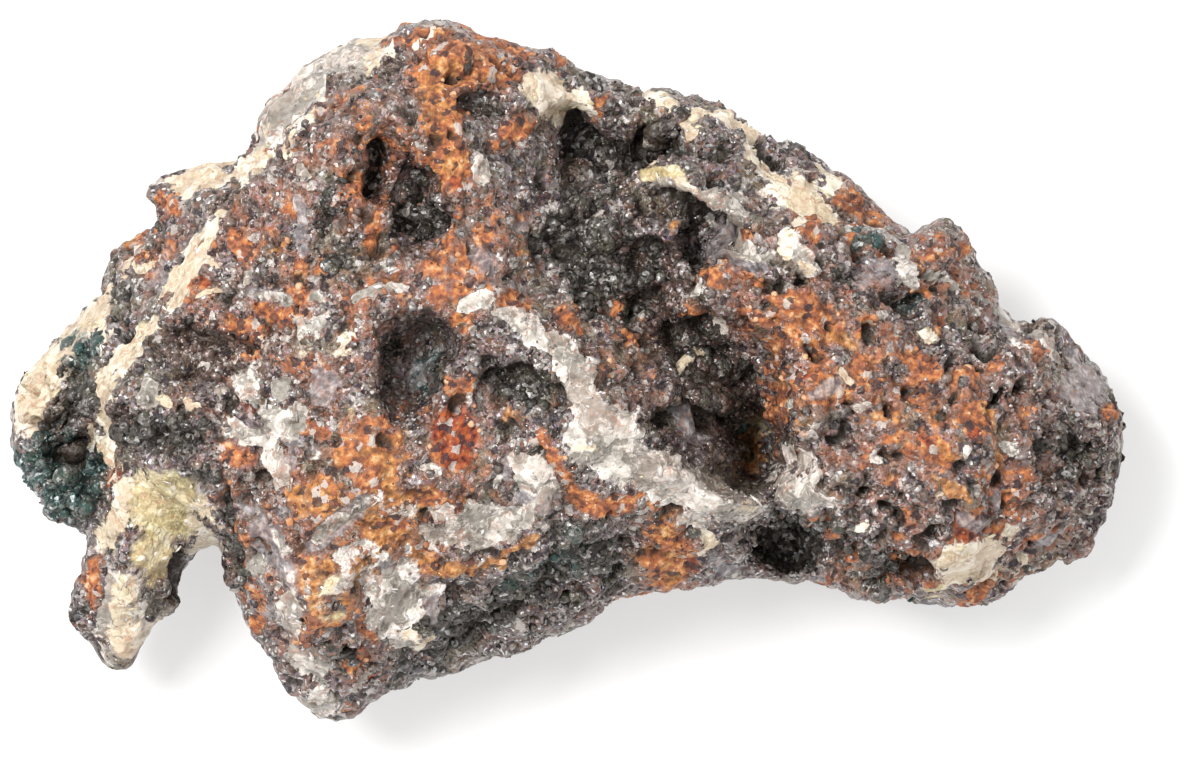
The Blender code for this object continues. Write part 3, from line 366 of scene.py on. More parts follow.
        (2.9, -4.9, 3.2, 2.8, 150, 1), (-2.3, -7.1, 2, 1.5, 140, 1), (6.3, -7.1, 2.9, 1.8, 160, 1),
        (10.2, -8.8, 3.4, 1.3, 165, 1), (9, -10.4, 1.5, 0.8, 170, 0.9), (-5.6, -11, 3.8, 1.6, 12, 1),
        (-1.6, -8, 1.4, 1.5, 90, 0.75), (-9.6, -6.7, 0.9, 0.6, 150, 0.9),
        (-12.1, -16.8, 2.9, 2.1, 80, 0.85), (-20.8, -17, 2.2, 0.9, 100, 0.61),
        (-17.3, -23.6, 1.5, 1.1, 120, 0.95), (-14.6, -21.8, 0.9, 0.4, 70, 0.95),
        (-22.3, -13.8, 0.9, 0.7, 80, 0.85), (9.5, 5.8, 0.6, 0.3, 0, 1), (11, 3, 0.8, 0.4, 160, 1),
        (20.6, 10.4, 0.9, 0.35, 0, 0.9), (16.3, -2.3, 0.6, 0.4, 30, 1), (20.7, -2.3, 0.6, 0.4, 30, 1),
        (34.7, 1.8, 1.2, 0.8, 150, 0.95), (28.3, -6, 0.8, 0.35, 100, 1), (31.7, -5.3, 0.6, 0.5, 0, 0.95),
        (16.4, -8.7, 2.5, 1.3, 145, 0.85), (-31.4, -17.7, 3.7, 1.4, 72, 0.9),
        (-9, -9.9, 1.2, 0.7, 0, 0.75), (-13.6, -3, 1.2, 0.7, 30, 0.6), (-5.6, -8, 1.6, 0.9, 30, 0.6),
        (12.2, 12.6, 0.9, 0.6, 0, 0.7), (12.9, 8.8, 1.9, 0.8, 152, 0.8), (17.1, 8, 1.6, 0.8, 130, 0.9),
        (-22.8, 6.8, 0.8, 0.4, 70, 0.8), (21.8, -6, 0.6, 0.4, 0, 0.7), (-12.5, -13.5, 6.5, 5.5, 20, 0.42),
        (-20, -14.5, 2.6, 5.5, 10, 0.33), (-20.5, -3, 4.5, 4, 0, 0.42), (17, -7.5, 3.2, 2.6, 0, 0.44),
        (-19.5, 3.5, 4.5, 3.5, 0, 0.35), (-31.8, -17.6, 1.9, 3.6, -10, 1), (-21.2, 17.6, 2.9, 1.3, 50, 1),
        (-18.7, 20.4, 2.5, 1.7, 40, 1), (-15.4, 22.5, 2.8, 1.7, 22, 1), (30, 4, 6, 3, 150, 0.42),
    ),
    Mineral.CREAM: (
        (-18.8, 17.9, 2.3, 0.4, 46, 0.95), (-23, 14.9, 2, 0.9, 30, 0.95),
        (-13.4, 22.6, 1.1, 0.9, 60, 0.9), (-26, 14.4, 3.1, 0.9, 12, 0.95), (-20, 15.6, 0.7, 0.45, 0, 0.9),
        (-1.2, 19.6, 2.3, 1.7, 160, 0.95), (1.3, 19.1, 1.6, 0.8, 135, 0.9),
        (6.5, 15.2, 1.3, 0.4, 12, 0.95), (8.6, 13, 1, 0.5, 140, 0.9), (18.8, 13.9, 1.1, 0.8, 100, 0.95),
        (17.8, 11.6, 2.1, 1.2, 150, 0.8), (-27, 13.1, 1.2, 0.5, 10, 0.9),
        (-34.5, 3.6, 3.4, 1.3, 57, 0.95), (-38, -1.3, 3.4, 1.4, 64, 1), (-33.2, 2.4, 1.6, 0.6, 80, 0.9),
        (-28.5, -2.5, 0.7, 0.5, 0, 0.8), (-26.4, -2.3, 1.2, 0.35, 165, 0.9),
        (-16.7, 1.6, 2, 1.4, 10, 0.6), (9, 1, 0.6, 0.35, 0, 1), (1.3, -5.2, 1.5, 0.4, 168, 0.9),
        (15.6, 9.2, 1.3, 0.9, 110, 0.95), (17.3, 7.5, 0.8, 0.4, 130, 0.9),
        (19.5, -0.5, 0.8, 0.4, 140, 0.9), (25.4, 3.2, 1, 0.5, 150, 1), (26.3, -8.8, 0.6, 0.3, 0, 0.9),
        (32, -11.4, 0.9, 0.35, 60, 0.95), (9.8, -12, 1.1, 0.7, 100, 0.95), (28.6, -13.5, 2.9, 1.8, 25, 1),
        (32.8, -14, 0.9, 0.35, 70, 0.95), (-10.6, -19, 1.2, 0.6, 45, 0.95),
        (-31.6, -8.4, 1.6, 0.8, 75, 0.8), (-26, -10.4, 1.9, 0.8, 75, 0.85),
        (20.8, -11, 0.8, 0.4, 60, 0.8), (16.9, 10.2, 0.8, 0.5, 0, 0.8), (-26.4, -15.2, 0.8, 0.4, 80, 0.5),
        (12.6, -8.9, 1.4, 0.5, 20, 0.7), (-9.8, 24.2, 1, 0.25, 45, 0.8),
        (-31.5, -17.4, 1.4, 3.8, -10, 0.8), (-32, -10.4, 1.3, 3.6, -20, 0.66),
        (-25.8, -11, 1.4, 2.6, 0, 0.62), (-31.2, -19.4, 1.1, 1.8, -8, 0.9), (-24, 15.2, 3, 1.6, 40, 0.55),
        (16.5, 12.5, 3.5, 2.2, 150, 0.47),
    ),
    Mineral.TEAL: (
        (-36.6, -7.4, 3.8, 3.4, 20, 0.95), (-34.9, 1.2, 1.8, 1.1, 40, 0.64),
        (-9.8, 0, 2.6, 1.4, 80, 0.62), (13.2, -4.6, 2, 1.4, 90, 0.4), (21.2, 9.3, 1, 0.7, 0, 0.85),
        (-1, -14, 5, 2.2, 20, 0.46), (29.6, 1.8, 0.8, 0.6, 130, 0.6), (-30.6, 9.7, 0.7, 0.4, 20, 0.7),
        (24.6, 5, 1, 0.6, 0, 0.55), (-19, 6.4, 1.4, 0.8, 0, 0.45), (8, 17, 1.2, 0.8, 20, 0.45),
    ),
}

# Veins seen from above: half width, then the points they run through
VEINS: dict[Mineral, tuple[tuple[float, tuple[tuple[float, float], ...]], ...]] = {
    Mineral.DARK: (
        (0.4, ((-7, 19), (-5, 18.6))),
        (1, ((0.4, 17.3), (2.5, 15.6), (3.6, 15.5))),
        (0.8, ((7, 17), (5.2, 15.8))),
        (0.5, ((9.6, 16), (10.8, 15.4))),
        (0.6, ((6.6, 12.2), (8.5, 11.4), (12.3, 9.6))),
        (0.45, ((6.8, -3), (10.8, -3.4))),
        (0.55, ((-27.4, -13), (-27.2, -16.4))),
        (0.5, ((-38.6, -4.2), (-36, -3.3))),
        (0.35, ((-26.2, 15.2), (-24.2, 15.6))),
        (0.4, ((34.4, -4.2), (34, -8))),
        (0.45, ((13.4, 16.4), (15, 15))),
    ),
    Mineral.RUST: (
        (0.4, ((0, 4.2), (1.3, 3))),
        (0.3, ((3, 19.2), (2.3, 18))),
        (0.35, ((-23.4, -13), (-22, -18.6))),
        (0.45, ((-1.7, -4.4), (-0.2, -6.8), (1.2, -9), (4, -9.6))),
        (0.4, ((14.6, 0.4), (15.8, 3))),
    ),
    Mineral.OCHRE: ((0.45, ((-11.2, -12.8), (-9, -13.9), (-5.5, -13.8), (-2.4, -12.4))),),
    Mineral.LILAC: ((0.5, ((-18.8, 12.2), (-18.3, 9))), (0.8, ((-17.5, -12.2), (-14.2, -9.2)))),
    Mineral.QUARTZ: (
        (0.32, ((-15.2, 5.6), (-14, 6), (-11.4, 5.7))),
        (0.9, ((-3.2, 3.4), (-1.7, 2.3), (0.2, 1.6), (1.6, 0), (1.4, -3))),
        (0.45, ((-17.3, -11.8), (-14.4, -9.4))),
        (0.6, ((-19.6, -16.4), (-19.1, -20), (-17.4, -21.2))),
        (0.8, ((6.6, 12.9), (8.8, 12.4), (11.8, 11.8), (12.2, 10.4))),
        (0.5, ((22, 10.1), (23.6, 8.9), (25, 6.6))),
        (0.35, ((26.6, 7.5), (28, 6.3))),
    ),
    Mineral.CREAM: (
        (0.72, ((-24.5, 11), (-26, 9), (-27, 7), (-28.3, 5), (-29.5, 3.3))),
        (0.72, ((-29.5, 3.3), (-31, 1.5), (-32.5, 0), (-33, -4), (-33, -5.5))),
        (0.5, ((-33, -5.5), (-32, -6.4))),
        (0.28, ((-26.5, 8.5), (-25, 7.5))),
        (0.22, ((-25, 6), (-26.5, 5.2))),
        (0.25, ((-29, 8.5), (-31, 6.7))),
        (0.35, ((6, 19.8), (10.3, 19.5))),
        (0.35, ((6.3, 19.6), (7.2, 18.3), (8.7, 17.3))),
        (0.4, ((8.3, 17.6), (9.7, 18.2), (12.5, 17.6), (13, 15.2), (15, 13))),
        (0.6, ((15.2, 13), (16.8, 12.2))),
        (0.3, ((-10.7, 23.3), (-9, 24.7))),
    ),
}

# Random bodies of each mineral on the sides and the base: wavelength of their noise, and the
# height of it above which they show
SCATTER: dict[Mineral, tuple[float, float]] = {
    Mineral.DARK: (4.6, 0.42), Mineral.BROWN: (5.4, 0.5), Mineral.RUST: (6.2, 0.24),
    Mineral.OCHRE: (3.6, 0.62), Mineral.RED: (3.0, 0.66), Mineral.LILAC: (5.0, 0.56),
    Mineral.HONEY: (6.6, 0.6), Mineral.QUARTZ: (6, 0.42), Mineral.CREAM: (4.8, 0.56),
    Mineral.TEAL: (4.0, 0.7),
}


def corner_value(i: np.ndarray, j: np.ndarray, k: np.ndarray, seed: int) -> np.ndarray:
    """Repeatable number from -1 to 1 for each corner of a unit lattice.

    Args:
        i: whole numbers of the corners along x.
        j: whole numbers of the corners along y.
        k: whole numbers of the corners along z.
        seed: which of many such fields.

    Returns:
        One number for each corner: its three whole numbers times large primes, mixed bit by bit.
    """
    mixed = i.astype(np.uint32) * np.uint32(73856093) ^ j.astype(np.uint32) * np.uint32(19349663)
    mixed ^= k.astype(np.uint32) * np.uint32(83492791) ^ np.uint32(seed * 7919 + 13)
    mixed ^= mixed >> np.uint32(13)
    mixed *= np.uint32(1274126177)
    mixed ^= mixed >> np.uint32(16)
    return (mixed & np.uint32(0xFFFF)) / 32767.5 - 1


def noise(points: np.ndarray, wavelength: float, seed: int) -> np.ndarray:
    """Smooth random field: the eight corner values round a point, weighted by an eased share.

    Args:
        points: rows of x, y, z.
        wavelength: spacing of the lattice.
        seed: which field.

    Returns:
        A number from -1 to 1 for each point.
    """
    scaled = points / wavelength
    corner = np.floor(scaled).astype(np.int64)
    part = scaled - corner
    ease = part**3 * (part * (part * 6 - 15) + 10)
    total = np.zeros(len(points))
    for dx, dy, dz in product((0, 1), repeat=3):
        weight = ease[:, 0] if dx else 1 - ease[:, 0]
        weight = weight * (ease[:, 1] if dy else 1 - ease[:, 1])
        weight = weight * (ease[:, 2] if dz else 1 - ease[:, 2])
        total += weight * corner_value(corner[:, 0] + dx, corner[:, 1] + dy, corner[:, 2] + dz, seed)
    return total


@dataclass
class Cells:
    """Each point's nearest of many random seeds, one in every cube of a lattice."""

    nearest: np.ndarray
    offset: np.ndarray
    tone: np.ndarray
    slant: float = 2.2
    terrace: float = 0.9
    highest: float = 0.8
    vug_width: float = 0.27
    vug_edge: int = 7

    @classmethod
    def around(cls, points: np.ndarray, size: float, seed: int) -> "Cells":
        """Search the 27 cubes round each point.

        Args:
            points: rows of x, y, z.
            size: side of a cube.
            seed: which arrangement of seeds.

        Returns:
            Distance of the nearest seed and the way to it, in cube sides, with three random
            numbers from 0 to 1 that belong to it.
        """
        scaled = points / size
        home = np.floor(scaled).astype(np.int64)
        nearest = np.full(len(points), np.inf)
        offset = np.zeros((len(points), 3))
        tone = np.zeros((len(points), 3))
        for step in product((-1, 0, 1), repeat=3):
            corner = home + np.array(step)
            draws = [corner_value(*(corner + 37 * k).T, seed * 3 + k) for k in range(3)]
            place = np.stack(draws, -1) * 0.5 + 0.5
            gap = scaled - corner - place
            reach = np.sqrt((gap**2).sum(-1))
            closer = reach < nearest
            nearest[closer] = reach[closer]
            offset[closer] = gap[closer]
            tone[closer] = place[closer]
        return cls(nearest, offset, tone)

    def domes(self, width: float = 0.72) -> np.ndarray:
        """Half spheres round the seeds: root of one less the squared share of the width."""
        return np.sqrt(np.clip(1 - (self.nearest / width) ** 2, 0, 1))

    def facets(self) -> np.ndarray:
        """One tilted plane for each seed: its random slope times the way to it, plus its own step."""
        slope = (self.tone - 0.5) * self.slant
        height = (slope * self.offset).sum(-1) + self.terrace * (self.tone[:, 0] - 0.5)
        return np.clip(height, -self.highest, self.highest)

    def vugs(self, share: float) -> np.ndarray:
        """Small holes at a share of the seeds: a steep bell, of a high power of the distance."""
        chosen = self.tone[:, 1] < share
        return np.where(chosen, np.exp(-((self.nearest / self.vug_width) ** self.vug_edge)), 0.0)


def smooth_step(value: np.ndarray, low: float, high: float) -> np.ndarray:
    """Eased share of the way from low to high: three squares less two cubes."""
    share = np.clip((value - low) / (high - low), 0, 1)
    return share * share * (3 - 2 * share)


def fading(points: np.ndarray, x: float, y: float, reach: float) -> np.ndarray:
    """One at a place in plan, less the squared share of the reach, and 0 beyond it."""
    return np.clip(1 - ((points[:, 0] - x) ** 2 + (points[:, 1] - y) ** 2) / reach**2, 0, None)


def segment_distance(points: np.ndarray, start: Place, end: Place) -> np.ndarray:
    """Distance in plan from each point to the straight line between two others."""
    start = np.asarray(start)
    run = np.asarray(end) - start
    share = np.clip((points[:, :2] - start) @ run / max(float(run @ run), 1e-12), 0, 1)
    gap = points[:, :2] - start - share[:, None] * run
    return np.hypot(gap[:, 0], gap[:, 1])


def ellipse_reach(
    points: np.ndarray, mid_x: float, mid_y: float, long: float, wide: float, turn: float
) -> np.ndarray:
    """How far out points lie in a turned ellipse: 0 at its middle, 1 on its edge.

    Args:
        points: rows that start with x and y.
        mid_x: middle of the ellipse along x.
        mid_y: middle of the ellipse along y.
        long: half its length.
        wide: half its width.
        turn: degrees from X to its length.

    Returns:
        Root of the squared shares along the length and the width.
    """
    x, y = points[:, 0] - mid_x, points[:, 1] - mid_y
    c, s = math.cos(math.radians(turn)), math.sin(math.radians(turn))
    return np.hypot((c * x + s * y) / long, (c * y - s * x) / wide)


@dataclass
class LumpForm:
    """Large shape of the stone: plan from the stations, heights from the spots, pits and crests."""

    top_rim: float = 3.5
    base_rim: float = 7.0
    rim_share: float = 0.18
    rim_reach: float = 0.2
    spot_softness: float = 1.8
    feature_blur: float = 0.3
    pit_depth: float = 1.2
    pit_edge: float = 3.4
    outline_pieces: int = 240
    edge_roughness: float = 0.35
    edge_reach: float = 1.6
    roughness: Layers = ((9.0, 1.3), (4.6, 0.9), (2.6, 0.5))

    def rails(self, along: np.ndarray) -> tuple[np.ndarray, np.ndarray, np.ndarray]:
        """Front outline, middle and back outline at shares of the stone's length.

        Args:
            along: shares from 0 at the left end to 1 at the right end.

        Returns:
            Three arrays of rows of x, y, read straight between the stations.
        """
        table = np.array(STATIONS)
        front_steps = np.hypot(*np.diff(table[:, 0:2], axis=0).T)
        back_steps = np.hypot(*np.diff(table[:, 2:4], axis=0).T)
        travelled = np.concatenate([[0.0], np.cumsum((front_steps + back_steps) / 2)])
        columns = [np.interp(along * travelled[-1], travelled, table[:, k]) for k in range(5)]
        front = np.stack(columns[0:2], -1)
        back = np.stack(columns[2:4], -1)
        middle = (front + back) / 2
        middle[:, 0] += columns[4]
        return front, middle, back

    def across(self, share: np.ndarray) -> np.ndarray:
        """Place between the front (-1) and the back (1) outline.

        Args:
            share: column shares from 0 to 1.

        Returns:
            Places that bunch at the rims as a cosine does, and run straight between them.
        """
        edge = np.minimum(share, 1 - share)
        rim = self.rim_reach * (1 - np.cos(np.pi / 2 * np.minimum(edge / self.rim_share, 1)))
        run = np.maximum(edge - self.rim_share, 0) / (0.5 - self.rim_share)
        inward = np.where(edge < self.rim_share, rim, self.rim_reach + (1 - self.rim_reach) * run)
        return np.where(share < 0.5, inward - 1, 1 - inward)

    def plan(self, along: np.ndarray, place: np.ndarray) -> np.ndarray:
        """Points in plan on the parabola through the front, the middle and the back outline."""
        front, middle, back = self.rails(along)
        w = place[:, None]
        return front * w * (w - 1) / 2 + middle * (1 - w * w) + back * w * (w + 1) / 2

    def outline_distance(self, points: np.ndarray) -> np.ndarray:
        """Distance in plan from each point to the nearest piece of the outline."""
        front, _, back = self.rails(np.linspace(0, 1, self.outline_pieces + 1))
        nearest = np.full(len(points), np.inf)
        for line in (front, back):
            for start, end in zip(line[:-1], line[1:]):
                nearest = np.minimum(nearest, segment_distance(points, start, end))
        return nearest

    def pulled(self, points: np.ndarray, table: tuple) -> np.ndarray:
        """Points in plan moved by a table of pulls, each as strong as its fading squared."""
        for x, y, reach, pull_x, pull_y in table:
            strength = fading(points, x, y, reach) ** 2
            points = points + strength[:, None] * np.array([pull_x, pull_y])
        return points

    def height_through(self, points: np.ndarray, table: tuple) -> np.ndarray:
        """Smooth surface through a table of heights.

        Args:
            points: rows of x, y.
            table: rows of x, y, z.

        Returns:
            A height for each point: one softened cone at every spot, weighted so that the sum
            passes through all of them.
        """
        known = np.array(table)
        count = len(known)
        gap = np.hypot(known[:, None, 0] - known[None, :, 0], known[:, None, 1] - known[None, :, 1])
        matrix = np.ones((count + 1, count + 1))
        matrix[:count, :count] = np.hypot(gap, self.spot_softness)
        matrix[count, count] = 0
        weights = np.linalg.solve(matrix, np.append(known[:, 2], 0.0))
        total = np.full(len(points), weights[count])
        for (x, y, _), weight in zip(known, weights):
            reach = np.hypot(points[:, 0] - x, points[:, 1] - y)
            total += weight * np.hypot(reach, self.spot_softness)
        return total

    def features(self, points: np.ndarray) -> np.ndarray:
        """Height of the pits (bells), creases (tents) and lumps (half spheres)."""
        rise = np.zeros(len(points))
        for *ellipse, depth in PITS:
            bell = np.exp(-(ellipse_reach(points, *ellipse) ** self.pit_edge))
            rise -= self.pit_depth * depth * bell
        for x0, y0, x1, y1, half_width, height in CREASES:
            gap = segment_distance(points, (x0, y0), (x1, y1))
            rise += height * np.clip(1 - gap / half_width, 0, None)
        for x, y, radius, height in LUMPS:
            rise += height * np.sqrt(fading(points, x, y, radius))
        return rise

    def soft_features(self, points: np.ndarray) -> np.ndarray:
        """Features averaged over four places round each point."""
        total = np.zeros(len(points))
        for side in product((-self.feature_blur, self.feature_blur), repeat=2):
            total += self.features(points + np.array(side))
        return total / 4

    def rounded(self, distance: np.ndarray, reach: float) -> np.ndarray:
        """Quarter-circle rise from 0 at the outline to 1 at the reach inside it."""
        return np.sqrt(np.clip(1 - (1 - np.minimum(distance / reach, 1)) ** 2, 0, 1))

    def broken(self, points: np.ndarray) -> np.ndarray:
        """Large roughness: creased layers of noise, lower at the slender places."""
        total = np.zeros(len(points))
        for seed, (wavelength, height) in enumerate(self.roughness):
            wave = noise(points, wavelength, seed)
            total += height * (0.6 * wave + 0.8 * (np.abs(wave) - 0.3))
        for x, y, reach, share in SLENDER:
            total *= 1 - share * np.sqrt(fading(points, x, y, reach))
        return total

    def surface(
        self, along: np.ndarray, share: np.ndarray, upper: np.ndarray
    ) -> tuple[np.ndarray, np.ndarray]:
        """Points of the stone for two parameters.

        Args:
            along: shares of the length.
            share: places round the stone, from the front outline (0) to the back outline (1).
            upper: true for the upper side, false for the underside.

        Returns:
            Rows of x, y, z and each point's distance from the outline. The height runs from the
            middle between the two sides at the outline to its own side as a quarter circle.
        """
        flat_plan = self.plan(along, self.across(share))
        distance = self.outline_distance(flat_plan)
        plan = self.pulled(flat_plan, BULGES)
        top = self.height_through(plan, TOP_HEIGHTS) + self.soft_features(plan)
        base = self.height_through(plan, BASE_HEIGHTS)
        middle = (top + base) / 2
        over = middle + (top - middle) * self.rounded(distance, self.top_rim)
        below = middle + (base - middle) * self.rounded(distance, self.base_rim)
        return np.column_stack([plan, np.where(upper, over, below)]), distance


@dataclass
class MineralMap:
    """Where each mineral shows: placed patches and veins above, random bodies on sides and base."""

    warp: Layers = ((2.4, 0.5), (0.9, 0.3), (0.4, 0.12))
    mosaic: float = 0.85
    whole: float = 0.62
    edge: float = 1.5

    def warped(self, points: np.ndarray) -> np.ndarray:
        """Points pushed about by layers of noise, so that patches have ragged edges."""
        moved = points.copy()
        for layer, (wavelength, push) in enumerate(self.warp):
            for axis in range(3):
                moved[:, axis] += push * noise(points, wavelength, 40 + 3 * layer + axis)
        return moved

    def veined(self, mineral: Mineral, points: np.ndarray) -> np.ndarray:
        """Strength of a mineral's own veins, 0.5 at their edges."""
        best = np.zeros(len(points))
        for half_width, line in VEINS.get(mineral, ()):
            for start, end in zip(line[:-1], line[1:]):
                gap = segment_distance(points, start, end)
                best = np.maximum(best, np.clip(self.edge - gap / half_width, 0, 1))
        return best

    def placed(self, mineral: Mineral, points: np.ndarray) -> np.ndarray:
        """Strength of a mineral's own patches and veins, 0.5 at their edges."""
        best = self.veined(mineral, points)
        broken = noise(points, 1.9, 120 + mineral.value) + 0.6 * noise(points, 0.85, 140 + mineral.value)
        broken = 1 + self.mosaic * broken
        for *ellipse, strength in PATCHES[mineral]:
            reach = ellipse_reach(points, *ellipse)
            whole = np.clip(self.edge - reach, 0, 1)
            patchy = np.clip(1.4 - 0.8 * reach, 0, 1) * broken
            best = np.maximum(best, strength * (patchy if strength < self.whole else whole))
        return best

    def sunken(self, points: np.ndarray) -> np.ndarray:
        """Strength of the dark veins and the dark patches of full strength, which are real holes."""
        moved = self.warped(points)
        best = self.veined(Mineral.DARK, moved)
        for *ellipse, strength in PATCHES[Mineral.DARK]:
            if strength == 1:
                best = np.maximum(best, np.clip(self.edge - ellipse_reach(moved, *ellipse), 0, 1))
        return best

    def weights(self, points: np.ndarray, facing: np.ndarray) -> np.ndarray:
        """Strength of every mineral at every point.

        Args:
            points: rows of x, y, z.
            facing: 1 where the surface is seen from above, 0 on the sides and the base.

        Returns:
            One column for each mineral. The placed strength fades into a random one, which is
            0.5 where a noise of the mineral's own wavelength passes its own level.
        """
        moved = self.warped(points)
        columns = []
        for mineral in Mineral:
            wavelength, level = SCATTER[mineral]
            body = 0.5 + 1.6 * (noise(moved, wavelength, 70 + mineral.value) - level)
            body += 0.12 * noise(moved, wavelength / 3, 90 + mineral.value)
            placed = self.placed(mineral, moved)
            columns.append(facing * placed + (1 - facing) * np.clip(body, 0, 1))
        return np.stack(columns, -1)


@dataclass
class SkinGrid:
    """Fine grid over the whole stone, with the minerals of every point.

    The vug cells give the size of a cube, the share of cubes with a vug, and how deep a vug goes.
    """

    form: LumpForm = field(default_factory=LumpForm)
    minerals: MineralMap = field(default_factory=MineralMap)
    rings: int = 432
    top_columns: int = 172
    base_columns: int = 56
    cavity_reach: int = 7
    crest: float = 32.2
    crest_share: float = 0.45
    inset: float = 0.3
    thorn: float = 0.3
    easings: int = 4
    swirl: float = 2.6
    narrow_reach: int = 3
    wide_reach: int = 6
    coarse_cell: float = 1.9
    middle_cell: float = 1.05
    fine_cell: float = 0.55
    cluster_cell: float = 2.7
    vug_cells: tuple[tuple[float, float, float], ...] = ((2.6, 0.42, 1.0), (1.5, 0.2, 0.85))
    vug_depth: float = 1.15
    hole_depth: float = 1.2

    def __post_init__(self) -> None:
        """Work out the points, their normals and their minerals."""
        columns = self.top_columns + self.base_columns
        ring, column = np.meshgrid(np.arange(self.rings + 1), np.arange(columns), indexing="ij")
        along = ring.ravel() / self.rings
        column = column.ravel()
        self.shape = (self.rings + 1, columns)
        self.upper = column <= self.top_columns
        under = (columns - column) / self.base_columns
        share = np.where(self.upper, column / self.top_columns, under)
        points, self.distance = self.form.surface(along, share, self.upper)
        normals = self.normals_of(points)
        edge = self.form.edge_roughness
        strength = edge + (1 - edge) * self.form.rounded(self.distance, self.form.edge_reach)
        points = points + normals * (self.form.broken(points) * strength)[:, None]
        points[:, :2] = self.form.pulled(points[:, :2], TRIMS)
        normals = self.steady(self.normals_of(points))
        # placed patches show where the skin is seen from above, and on a strip along the rim
        facing = np.where(self.upper, smooth_step(normals[:, 2], -0.1, 0.2), 0.0)
        facing = np.maximum(facing, 1 - smooth_step(self.distance, 0.2, 0.9))
        # on steep walls the patches are read at swirled places, so that they don't run down as stripes
        wall = self.swirl * (1 - smooth_step(normals[:, 2], -0.1, 0.5))[:, None]
        swirled = points + wall * np.stack([noise(points, 3.1, 24 + k) for k in range(3)], -1)
        self.weights = self.minerals.weights(swirled, facing)
        self.cavity = self.cavity_of(points)
        relief = self.relief(points)
        # crevices, where the relief lies below its neighbours' mean, keep grains away and get painted shade
        # on the skin and the grains; open lessens that painted shade in deep cavities
        narrow = smooth_step(self.local_mean(relief, self.narrow_reach) - relief, 0.03, 0.34)
        wide = smooth_step(self.local_mean(relief, self.wide_reach) - relief, 0.15, 0.6)
        self.open = 1 - 0.7 * smooth_step(self.cavity, 1.8, 3.6)
        self.crevice = np.maximum(narrow, wide) * self.open
        points = points + normals * relief[:, None]
        above = np.maximum(points[:, 2] - self.crest, 0)
        points[:, 2] = np.maximum(points[:, 2] - self.crest_share * above, 0.0)
        self.points = self.eased(self.close_poles(points))
        self.normals = self.normals_of(self.points)

    def close_poles(self, points: np.ndarray) -> np.ndarray:
        """Grid whose first and last rings are drawn together in one point each."""
        grid = points.reshape(*self.shape, 3).copy()
        grid[0] = grid[0].mean(axis=0)
        grid[-1] = grid[-1].mean(axis=0)
        return grid.reshape(-1, 3)

    def eased(self, points: np.ndarray) -> np.ndarray:
        """Grid without thorns: points too far from their neighbours' mean come nearer, most at the rim."""
        grid = points.reshape(*self.shape, 3).copy()
        limit = self.thorn * (0.4 + 0.6 * smooth_step(self.distance, 0.2, 1.2))
        limit = limit.reshape(*self.shape, 1)[1:-1]
        for _ in range(self.easings):
            mean = (grid[:-2] + grid[2:] + np.roll(grid, 1, 1)[1:-1] + np.roll(grid, -1, 1)[1:-1]) / 4
            gap = grid[1:-1] - mean
            far = np.linalg.norm(gap, axis=-1, keepdims=True)
            grid[1:-1] = mean + gap * np.minimum(1, limit / np.maximum(far, 1e-9))
        return grid.reshape(-1, 3)

    def normals_of(self, points: np.ndarray) -> np.ndarray:
        """Outward normals of a grid: cross product of its differences along and round."""
        grid = points.reshape(*self.shape, 3)
        along = np.gradient(grid, axis=0)
        around = np.roll(grid, -1, axis=1) - np.roll(grid, 1, axis=1)
        normal = np.cross(along, around)
        normal[0] = normal[1].mean(axis=0)
        normal[-1] = normal[-2].mean(axis=0)
        normal /= np.maximum(np.linalg.norm(normal, axis=-1, keepdims=True), 1e-9)
        middle = normal[self.rings // 2, self.top_columns // 2]
        return (normal * np.sign(middle[2])).reshape(-1, 3)

    def steady(self, normals: np.ndarray) -> np.ndarray:
        """Normals averaged over their neighbours on the grid and made one long again."""
        mean = np.stack([self.local_mean(normals[:, axis], 2) for axis in range(3)], -1)
        return mean / np.maximum(np.linalg.norm(mean, axis=1, keepdims=True), 1e-9)

    def cavity_of(self, points: np.ndarray) -> np.ndarray:
        """How far each point lies below the mean height of its neighbourhood, in millimetres."""
        mean = points[:, 2]
        for _ in range(3):
            mean = self.local_mean(mean, self.cavity_reach)
        return np.clip(mean - points[:, 2], -3, 5)

    def local_mean(self, values: np.ndarray, reach: int) -> np.ndarray:
        """Mean over the grid lines within reach of each point, along and round the stone."""
        mean = values.reshape(self.shape)
        for axis in (0, 1):
            shifts = range(-reach, reach + 1)
            mean = sum(np.roll(mean, shift, axis) for shift in shifts) / len(shifts)
        return mean.ravel()

    def share_of(self, *minerals: Mineral) -> np.ndarray:
        """Eased strength of the strongest of some minerals at every point."""
        best = np.max([self.weights[:, mineral.value] for mineral in minerals], axis=0)
        return smooth_step(best, 0.38, 0.62)

    def relief(self, points: np.ndarray) -> np.ndarray:
        """Fine relief along the normals.

        Args:
            points: the grid before its fine relief.

        Returns:
            Millimetres for each point: domes on ore, tilted facets on spar, grit on rust, with
            holes at some seeds and at the dark patches of full strength.
        """
        spar = self.share_of(*SPARS)
        dark = self.share_of(Mineral.DARK, Mineral.BROWN, Mineral.TEAL) * (1 - spar)
        rust = self.share_of(*RUSTS) * (1 - spar) * (1 - dark)
        steel = (1 - spar) * (1 - dark) * (1 - rust)
        moved = points + 0.25 * np.stack([noise(points, 0.9, 50 + k) for k in range(3)], -1)
        coarse = Cells.around(moved, self.coarse_cell, 11)
        middle = Cells.around(moved, self.middle_cell, 12)
        fine = Cells.around(points, self.fine_cell, 13)
        grit = noise(points, 0.5, 31)
        waves = noise(points, 1.5, 32)
        broad = noise(points, 3.2, 33)
        clusters = Cells.around(moved, self.cluster_cell, 16).domes(0.58)
